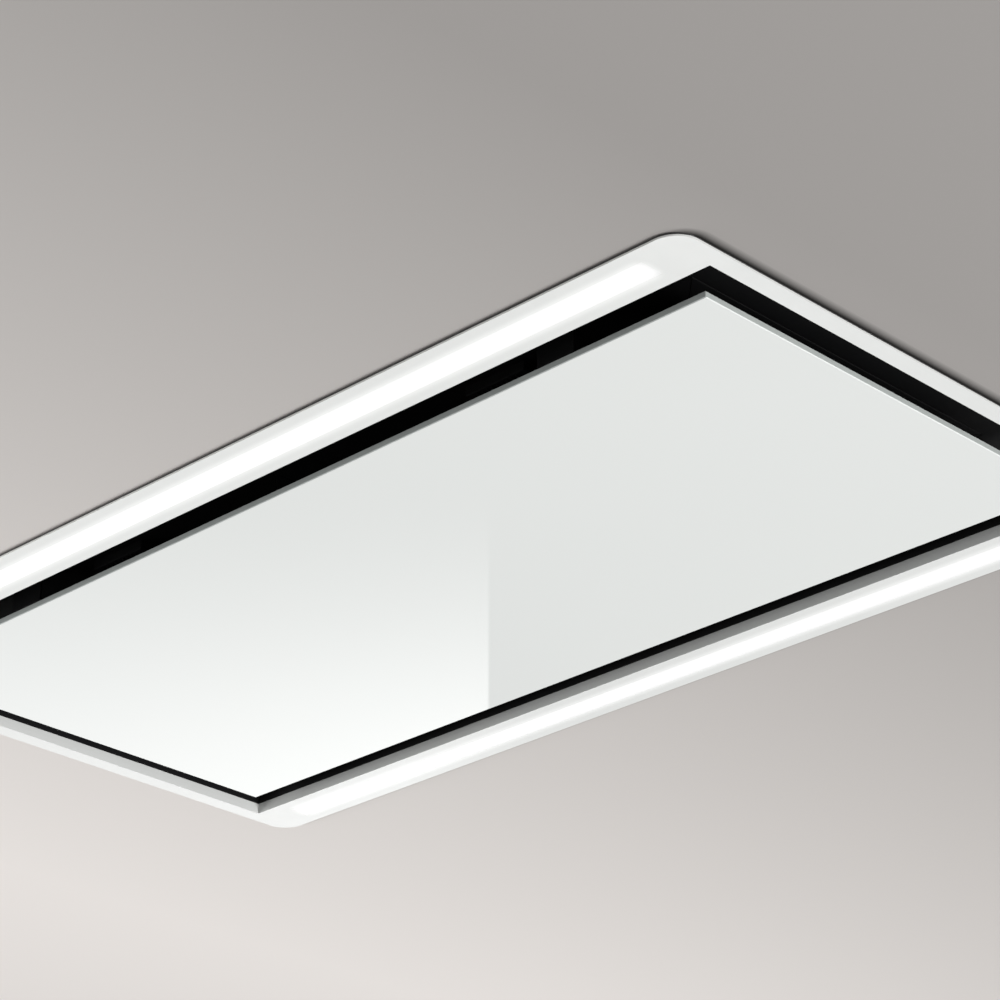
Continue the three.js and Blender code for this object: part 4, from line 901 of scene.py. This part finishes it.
galvanised = galvanised_sheet("galvanised_sheet", (0.52, 0.54, 0.55), 0.36)
wall_low, wall_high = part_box("casing_walls")
spigot_low, spigot_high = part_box("outlet_spigot")
duct_low, duct_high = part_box("outlet_duct")
outlet_middle = (0, middle_of("outlet_duct").z)
outlet_half = (duct_high.x - DUCT_WALL, (duct_high.z - duct_low.z) / 2 - DUCT_WALL)
walls = bmesh.new()
stood_up = Matrix.Rotation(math.radians(90), 4, "X")
for quarter, distance, half_length, bead_places, opening in (
        (0, -wall_low.y, wall_high.x, NEAR_BEADS, None),
        (1, wall_high.x, wall_high.y, END_BEADS, None),
        (2, wall_high.y, wall_high.x, FAR_BEADS, (outlet_middle, *outlet_half)),
        (3, wall_high.x, wall_high.y, END_BEADS, None)):
    skin = wall_skin(half_length, bead_places, opening)
    turn = Matrix.Rotation(quarter * math.pi / 2, 4, "Z")
    add_copies(walls, skin, [turn @ Matrix.Translation((0, -distance, 0)) @ stood_up])
bmesh.ops.remove_doubles(walls, verts=walls.verts, dist=WELD_DISTANCE)
wall_top = wall_high.z - WELD_DISTANCE
top_bend = [
    edge for edge in walls.edges
    if edge.is_boundary and min(vert.co.z for vert in edge.verts) > wall_top
]
# The lip is a strip without height, whose free edge is then drawn inwards.
raise_rim(walls, top_bend, (0, 0, 0))
for vert in walls.verts:
    if vert.co.z > wall_top and any(edge.is_boundary for edge in vert.link_edges):
        vert.co.x -= math.copysign(WALL_LIP + CASING_SHEET, vert.co.x)
        vert.co.y -= math.copysign(WALL_LIP + CASING_SHEET, vert.co.y)
bmesh.ops.recalc_face_normals(walls, faces=walls.faces)
round_edges(walls, WALL_BEND, segments=3, chosen=lambda edge: (
    edge.calc_length() > WALL_BEND_LENGTH))
thicken(walls, CASING_SHEET)
place("folded_walls", walls, "galvanised", galvanised, nodes=["casing_walls"])

rivets = bmesh.new()
for row in (-1, 1):
    add_copies(rivets, turned(RIVET, 12), [
        standing((along, row * wall_high.y, RIVET_HEIGHT), (0, row, 0))
        for along in LONG_SIDE_RIVETS])
    add_copies(rivets, turned(RIVET, 12), [
        standing((row * wall_high.x, along, RIVET_HEIGHT), (row, 0, 0))
        for along in END_RIVETS])
place("casing_rivets", rivets, "steel", zinc)


# ----------------------------------------
# Casing top: a galvanised lid screwed to the walls' lip. Beads across it, and a ring
# bead round the fan's four hangers, keep it from drumming.

TOP_CORNER = 0.003
TOP_BORDER = 0.016
TOP_SCREW_INSET = 0.007
TOP_SCREW = 0.0032
LONG_SIDE_SCREWS = 7
END_SCREWS = (-0.16, 0.0, 0.16)
TOP_BEAD_HALF = 0.010
TOP_BEADS = (
    (-0.4085, 0.0, 0.19), (-0.3485, 0.0, 0.19), (0.0522, 0.0, 0.19), (0.1122, 0.0, 0.19),
    (0.210, 0.1, 0.09), (0.270, 0.1, 0.09), (0.330, 0.1, 0.09), (0.4085, 0.0, 0.19))
RING_BEAD = (
    (0.142, 0.0), (0.1400, 0.35), (0.1375, 0.85), (0.1345, 1.0), (0.1295, 0.99), (0.1265, 0.85),
    (0.1240, 0.35), (0.122, 0.0))

top_low, top_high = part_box("casing_top")
lid_level = top_low.z + CASING_SHEET
bead_rise = top_high.z - lid_level
fan_axis = middle_of("motor_plate").xy
lid = bmesh.new()
inner = add_border(lid, (0, 0), top_high.x, top_high.y, TOP_CORNER, TOP_BORDER)
feet = [
    add_bead(lid, (along, across), TOP_BEAD_HALF, half, bead_rise)
    for along, across, half in TOP_BEADS
]
feet.append(skin_over(lid, [
    add_outline(lid, fan_axis, radius, radius, radius, bead_rise * share, steps=64)
    for radius, share in RING_BEAD]))
fill_between(lid, inner, *feet)
for face in lid.faces:
    face.normal_update()
    if face.normal.z < 0:
        face.normal_flip()
bmesh.ops.solidify(lid, geom=lid.faces, thickness=CASING_SHEET)
bmesh.ops.translate(lid, vec=(0, 0, lid_level), verts=lid.verts)
place("beaded_lid", lid, "galvanised", galvanised, nodes=["casing_top"])

screw_x = top_high.x - TOP_SCREW_INSET
screw_y = top_high.y - TOP_SCREW_INSET
along_lid = [
    ((2 * index + 1) / LONG_SIDE_SCREWS - 1) * screw_x for index in range(LONG_SIDE_SCREWS)]
seats = [(x, row * screw_y, lid_level) for x in along_lid for row in (-1, 1)]
seats += [(row * screw_x, y, lid_level) for y in END_SCREWS for row in (-1, 1)]
place_screws("lid_screws", TOP_SCREW, seats)


# ----------------------------------------
# Suspension brackets: galvanised strip, 2.5 mm, bent to a Z, with a slot for an M8
# rod. Two hexagon bolts on washers fix the foot of each to the lid.

BRACKET_BEND_OUTER = 0.004
BRACKET_BEND_INNER = 0.0015
BRACKET_SHEET = 0.0025
BEND_BAND = 0.0015
BEND_LENGTH = 0.04
BOLT_TURN = 0.4
RISER_INSET = 0.02875
BRACKET_BOLT_X = 0.012
BRACKET_BOLT_INSET = 0.0155
WASHER = ((0, 0.0012), (0.0088, 0.0012), (0.0092, 0.0009), (0.0092, 0), (0, 0))
BOLT_HEAD = ((0, 0.0052), (0.0046, 0.0052), (0.0056, 0.0047), (0.0056, 0.001), (0, 0.001))


def bend_edges(shape, convex, radius, chosen):
    """Rounds the outer or the inner edges of a bend."""
    shape.normal_update()
    bends = [edge for edge in shape.edges if edge.is_convex == convex and chosen(edge)]
    round_edges(shape, radius, segments=4, chosen=lambda edge: edge in bends)


hanging_bolts = bmesh.new()
for side in ("left", "right"):
    for end, toward_y in (("near", -1), ("far", 1)):
        node = f"suspension_bracket_{end}_{side}"
        low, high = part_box(node)
        riser = toward_y * (min(abs(low.y), abs(high.y)) + RISER_INSET)

        def at_bend(edge):
            return edge.calc_length() > BEND_LENGTH and all(
                abs(vert.co.y - riser) < BEND_BAND for vert in edge.verts)

        strip_shape = cad_copy(node)
        bend_edges(strip_shape, True, BRACKET_BEND_OUTER, at_bend)
        bend_edges(strip_shape, False, BRACKET_BEND_INNER, at_bend)
        round_edges(strip_shape, PLATE_EDGE)
        place(f"rod_bracket_{end}_{side}", strip_shape, "galvanised", galvanised, nodes=[node])
        for step in (-1, 1):
            seat = (
                middle_of(node).x + step * BRACKET_BOLT_X,
                riser - toward_y * BRACKET_BOLT_INSET, low.z + BRACKET_SHEET)
            add_copies(hanging_bolts, turned(WASHER, 20), [standing(seat)])
            add_copies(
                hanging_bolts, turned(BOLT_HEAD, 6), [standing(seat, turn=step * BOLT_TURN)])
place("bracket_bolts", hanging_bolts, "steel", zinc)


# ----------------------------------------
# Fan housing: a spiral in two glass-filled nylon halves, screwed together through
# lugs, with a grey inlet nozzle. It hangs on four rubber buffers.

LUG_RADIUS = 0.0048
LUG = (
    (0, 0), (LUG_RADIUS, 0), (LUG_RADIUS, 0.012), (LUG_RADIUS * 0.8, 0.014), (0, 0.014))
LUG_ANGLES = (80, 130, 180, 230, 280, 330)
LUG_STANDOFF = 0.55
LUG_SEEK = math.radians(12)
HOUSING_EDGE = 0.0008
NOZZLE_EDGE = 0.0006
BUFFER_FOOT = ((-0.0008, 0), (0, 0.0008), (0, 0.004))
BUFFER_NECK = ((0.78, 0.0065), (0.66, 0.010))
HANGER_RADIUS = 0.092
RUBBER_COLOUR = (0.017, 0.017, 0.018)

grey_plastic = moulded("grey_moulding", (0.47, 0.49, 0.50), 0.48)
rubber = finish("black_rubber", RUBBER_COLOUR, 0.85)
tint(rubber, spots(rubber, 0.01), 0.7, 1.18)
grain(rubber, spots(rubber, 0.0009), 0.00004)
for half in ("lower", "upper"):
    node = f"volute_{half}"
    low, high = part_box(node)
    housing = cad_copy(node)
    wall_points = [vert.co.xy - fan_axis for vert in housing.verts]
    round_edges(housing, HOUSING_EDGE)
    split, toward = (high.z, -1) if half == "lower" else (low.z, 1)
    for degrees in LUG_ANGLES:
        ray_out = Vector((math.cos(math.radians(degrees)), math.sin(math.radians(degrees))))
        reach = max(point.dot(ray_out) for point in wall_points
                    if point.angle(ray_out) < LUG_SEEK)
        seat = fan_axis + ray_out * (reach + LUG_RADIUS * LUG_STANDOFF)
        add_copies(housing, turned(LUG, 16), [standing((*seat, split), (0, 0, toward))])
    place(f"{half}_housing", housing, "black_plastic", black_plastic, nodes=[node])
place_rounded("inlet_nozzle", "inlet_ring", "grey_plastic", grey_plastic, NOZZLE_EDGE)
for index in range(1, 5):
    low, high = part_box(f"rubber_hanger_{index}")
    radius = (high.x - low.x) / 2
    profile = [(0, 0)] + [(radius + inset, rise) for inset, rise in BUFFER_FOOT]
    profile += [(radius * share, rise) for share, rise in BUFFER_NECK]
    profile += [(across, high.z - low.z - rise) for across, rise in reversed(profile)]
    buffer = turned(profile, 24)
    middle = middle_of(f"rubber_hanger_{index}").xy
    bmesh.ops.translate(buffer, vec=(*middle, low.z), verts=buffer.verts)
    place(f"rubber_buffer_{index}", buffer, "rubber", rubber, nodes=[f"rubber_hanger_{index}"])
place_screws(
    "hanger_screws", TOP_SCREW,
    [(fan_axis.x + HANGER_RADIUS * math.cos(angle), fan_axis.y + HANGER_RADIUS * math.sin(angle),
      lid_level) for angle in (math.radians(45 + 90 * index) for index in range(4))])


# ----------------------------------------
# Fan wheel and motor: a moulded wheel with forward-curved blades sits on the turning
# cup of an outer-rotor motor, whose stator and bearings hang from a plate.

laminations = bare_metal("stator_laminations", (0.20, 0.20, 0.21), 0.5, (1, 1, 0))
bearing_steel = bare_metal("bearing_steel", (0.60, 0.60, 0.60), 0.2, (0, 0, 1))
for name, node, body, slot, material, radius in (
        ("blade_wheel", "impeller", "fan_wheel", "grey_plastic", grey_plastic, 0.0003),
        ("turning_cup", "rotor_cup", "fan_wheel", "steel", zinc, 0.0015),
        ("motor_spindle", "motor_shaft", "fan_wheel", "steel", bearing_steel, 0.0005),
        ("stator_core", "stator", "casing", "magnet", laminations, 0.0006),
        ("lower_ball_bearing", "bearing_lower", "casing", "steel", bearing_steel, 0.0005),
        ("upper_ball_bearing", "bearing_upper", "casing", "steel", bearing_steel, 0.0005),
        ("motor_carrier", "motor_plate", "casing", "galvanised", galvanised, 0.0004)):
    place_rounded(name, node, slot, material, radius, body=body)


# ----------------------------------------
# Outlet: a black moulded duct from the fan to the back of the casing, a ribbed grey
# flap that gravity closes, and the spigot outside that a flat duct pushes on to.

DUCT_EDGE = 0.0005
FLAP_EDGE = 0.0003
FLAP_RIBS = (-0.08, -0.04, 0.0, 0.04, 0.08)
FLAP_RIB_HALF = 0.0008
FLAP_RIB_PROUD = 0.0018
FLAP_RIB_INSETS = (0.003, 0.006)
FLANGE_SCREWS = (-0.09, 0.0, 0.09)
TUBE_CORNER_OUTER = 0.004
TUBE_CORNER_INNER = 0.002
FLANGE_CORNER = 0.006
FLANGE_SHEET = 0.002
FLANGE_SCREW_INSET = 0.007
NEAR_ENOUGH = 0.0001


def along_y(edge):
    start, end = (vert.co for vert in edge.verts)
    return (start.xz - end.xz).length < WELD_DISTANCE


place_rounded("moulded_duct", "outlet_duct", "black_plastic", black_plastic, DUCT_EDGE)
place_rounded("flap_spindle", "flap_pin", "steel", zinc, FLAP_EDGE)
flap_low, flap_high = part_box("outlet_flap")
flap_y = middle_of("outlet_flap").y
flap = cad_copy("outlet_flap")
round_edges(flap, FLAP_EDGE)
rib = bmesh.new()
add_box(
    rib, (-FLAP_RIB_HALF, flap_y, flap_low.z + FLAP_RIB_INSETS[0]),
    (FLAP_RIB_HALF, flap_y + FLAP_RIB_PROUD, flap_high.z - FLAP_RIB_INSETS[1]))
round_edges(rib, FLAP_EDGE)
add_copies(flap, rib, [Matrix.Translation((rib_x, 0, 0)) for rib_x in FLAP_RIBS])
place("ribbed_flap", flap, "grey_plastic", grey_plastic, body="flap", nodes=["outlet_flap"])

spigot = cad_copy("outlet_spigot")
spigot.normal_update()
for corner_x, radius, segments in (
        (spigot_high.x, FLANGE_CORNER, 5), (duct_high.x, TUBE_CORNER_OUTER, 5),
        (outlet_half[0], TUBE_CORNER_INNER, 4)):
    round_edges(spigot, radius, segments, chosen=lambda edge: (
        along_y(edge) and abs(abs(edge.verts[0].co.x) - corner_x) < NEAR_ENOUGH))
round_edges(spigot, DUCT_EDGE)
place("duct_collar", spigot, "black_plastic", black_plastic, nodes=["outlet_spigot"])
flange_y = spigot_low.y + FLANGE_SHEET
flange_z = (spigot_low.z + FLANGE_SCREW_INSET, spigot_high.z - FLANGE_SCREW_INSET)
flange_seats = [(x, flange_y, z) for x in FLANGE_SCREWS for z in flange_z]
flange_seats += [
    (row * (spigot_high.x - FLANGE_SCREW_INSET), flange_y, outlet_middle[1]) for row in (-1, 1)]
place_screws("collar_screws", TOP_SCREW, flange_seats, outward=(0, 1, 0))


# ----------------------------------------
# Control box: a grey moulding with a screwed lid, screwed to the casing's top. It
# holds the control board and its terminals, and the mains lead enters by the gland.

BOX_CORNER = 0.004
BOX_EDGE = 0.0008
LID_SCREW_INSET = 0.009
LID_SCREW_SINK = 0.0008
RELAY = ((-0.010, -0.034, 0), (0.010, -0.006, 0.015))
CAPACITOR = (
    (0, 0.0205), (0.0070, 0.0205), (0.0078, 0.0195), (0.0078, 0.0035), (0.0072, 0.0025),
    (0.0078, 0.0015), (0.0078, 0), (0, 0))
CAPACITOR_INSET = 0.020
BOARD_COLUMNS = (0.030, 0.056, 0.082)
NUT_GAP = 0.0003
NUT_STEP = 0.0002
NUT_CHAMFER = 0.0006
NUT_BORE = 0.0076
GLAND_BORE = 0.0045
GLAND_THREAD = 0.0075
LOCK_NUT = 0.006
DOME_BORE = 0.0046
DOME_NUT = 0.0092


def upright_corner(edge):
    start, end = (vert.co for vert in edge.verts)
    return (start.xy - end.xy).length < WELD_DISTANCE and (
        min(abs(start.x - box_low.x), abs(start.x - box_high.x)) < NEAR_ENOUGH)


box_low, box_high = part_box("control_box")
lid_low, lid_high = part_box("control_box_lid")
for name, node in (("control_housing", "control_box"), ("control_cover", "control_box_lid")):
    moulding = cad_copy(node)
    round_edges(moulding, BOX_CORNER, segments=4, chosen=upright_corner)
    round_edges(moulding, BOX_EDGE)
    place(name, moulding, "grey_plastic", grey_plastic, nodes=[node])
place_screws("cover_screws", TOP_SCREW, [
    (x, y, lid_high.z - LID_SCREW_SINK)
    for x in (lid_low.x + LID_SCREW_INSET, lid_high.x - LID_SCREW_INSET)
    for y in (lid_low.y + LID_SCREW_INSET, lid_high.y - LID_SCREW_INSET)])

green_board = moulded("green_solder_mask", (0.012, 0.10, 0.035), 0.35)
white_plastic = moulded("white_moulding", (0.76, 0.76, 0.74), 0.45)
dress("control_board", green_board)
board_low, board_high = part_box("control_board")
parts_on_board = bmesh.new()
relay = bmesh.new()
add_box(relay, *RELAY)
round_edges(relay, BOX_EDGE)
columns = [board_low.x + along for along in BOARD_COLUMNS]
add_copies(parts_on_board, relay, [
    Matrix.Translation((x, board_high.y, board_high.z)) for x in columns])
add_copies(parts_on_board, turned(CAPACITOR, 20), [
    standing((x, board_low.y + CAPACITOR_INSET, board_high.z)) for x in columns], material=1)
place("board_parts", parts_on_board, "black_plastic", black_plastic, extruded)
place_rounded("mains_terminals", "terminal_block", "white_board", white_plastic, BOX_EDGE)

gland_low, gland_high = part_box("cable_gland")
gland_seat = middle_of("cable_gland")
gland_seat.x = gland_low.x
gland_length = gland_high.x - gland_low.x
nut_face = box_high.x + NUT_GAP - gland_low.x
nut_back = nut_face + LOCK_NUT
nut_radius = (gland_high.y - gland_low.y) / 2
nut_land = nut_radius * 0.95
dome_foot = nut_back + NUT_STEP
barrel = (
    (GLAND_BORE, 0.0), (0.0070, 0.0), (GLAND_THREAD, 0.0005), (GLAND_THREAD, dome_foot),
    (GLAND_BORE, dome_foot), (GLAND_BORE, 0.0))
lock_nut = (
    (NUT_BORE, nut_face), (nut_land, nut_face), (nut_radius, nut_face + NUT_CHAMFER),
    (nut_radius, nut_back - NUT_CHAMFER), (nut_land, nut_back), (NUT_BORE, nut_back),
    (NUT_BORE, nut_face))
dome_nut = (
    (DOME_BORE, dome_foot), (DOME_NUT, dome_foot), (DOME_NUT, gland_length - 0.004),
    (0.0080, gland_length - 0.0012), (0.0062, gland_length), (DOME_BORE, gland_length),
    (DOME_BORE, dome_foot))
gland = bmesh.new()
for profile, steps in ((barrel, 28), (lock_nut, 6), (dome_nut, 28)):
    add_copies(gland, turned(profile, steps), [standing(gland_seat, (1, 0, 0))])
place("gland_and_nuts", gland, "black_plastic", black_plastic, nodes=["cable_gland"])


# ----------------------------------------
# Light supply: a driver in a closed white plastic case, which feeds both lit strips.
# It stands at the right end of the deck, and two screws hold it.

SUPPLY_EDGE = 0.0015
SUPPLY_SCREW_INSET = 0.010

place_rounded(
    "strip_driver", "light_supply", "white_board", white_plastic, SUPPLY_EDGE, segments=3)
supply_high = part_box("light_supply")[1]
place_screws("driver_screws", HINGE_SCREW, [
    (middle_of("light_supply").x, row * (supply_high.y - SUPPLY_SCREW_INSET), supply_high.z)
    for row in (-1, 1)])
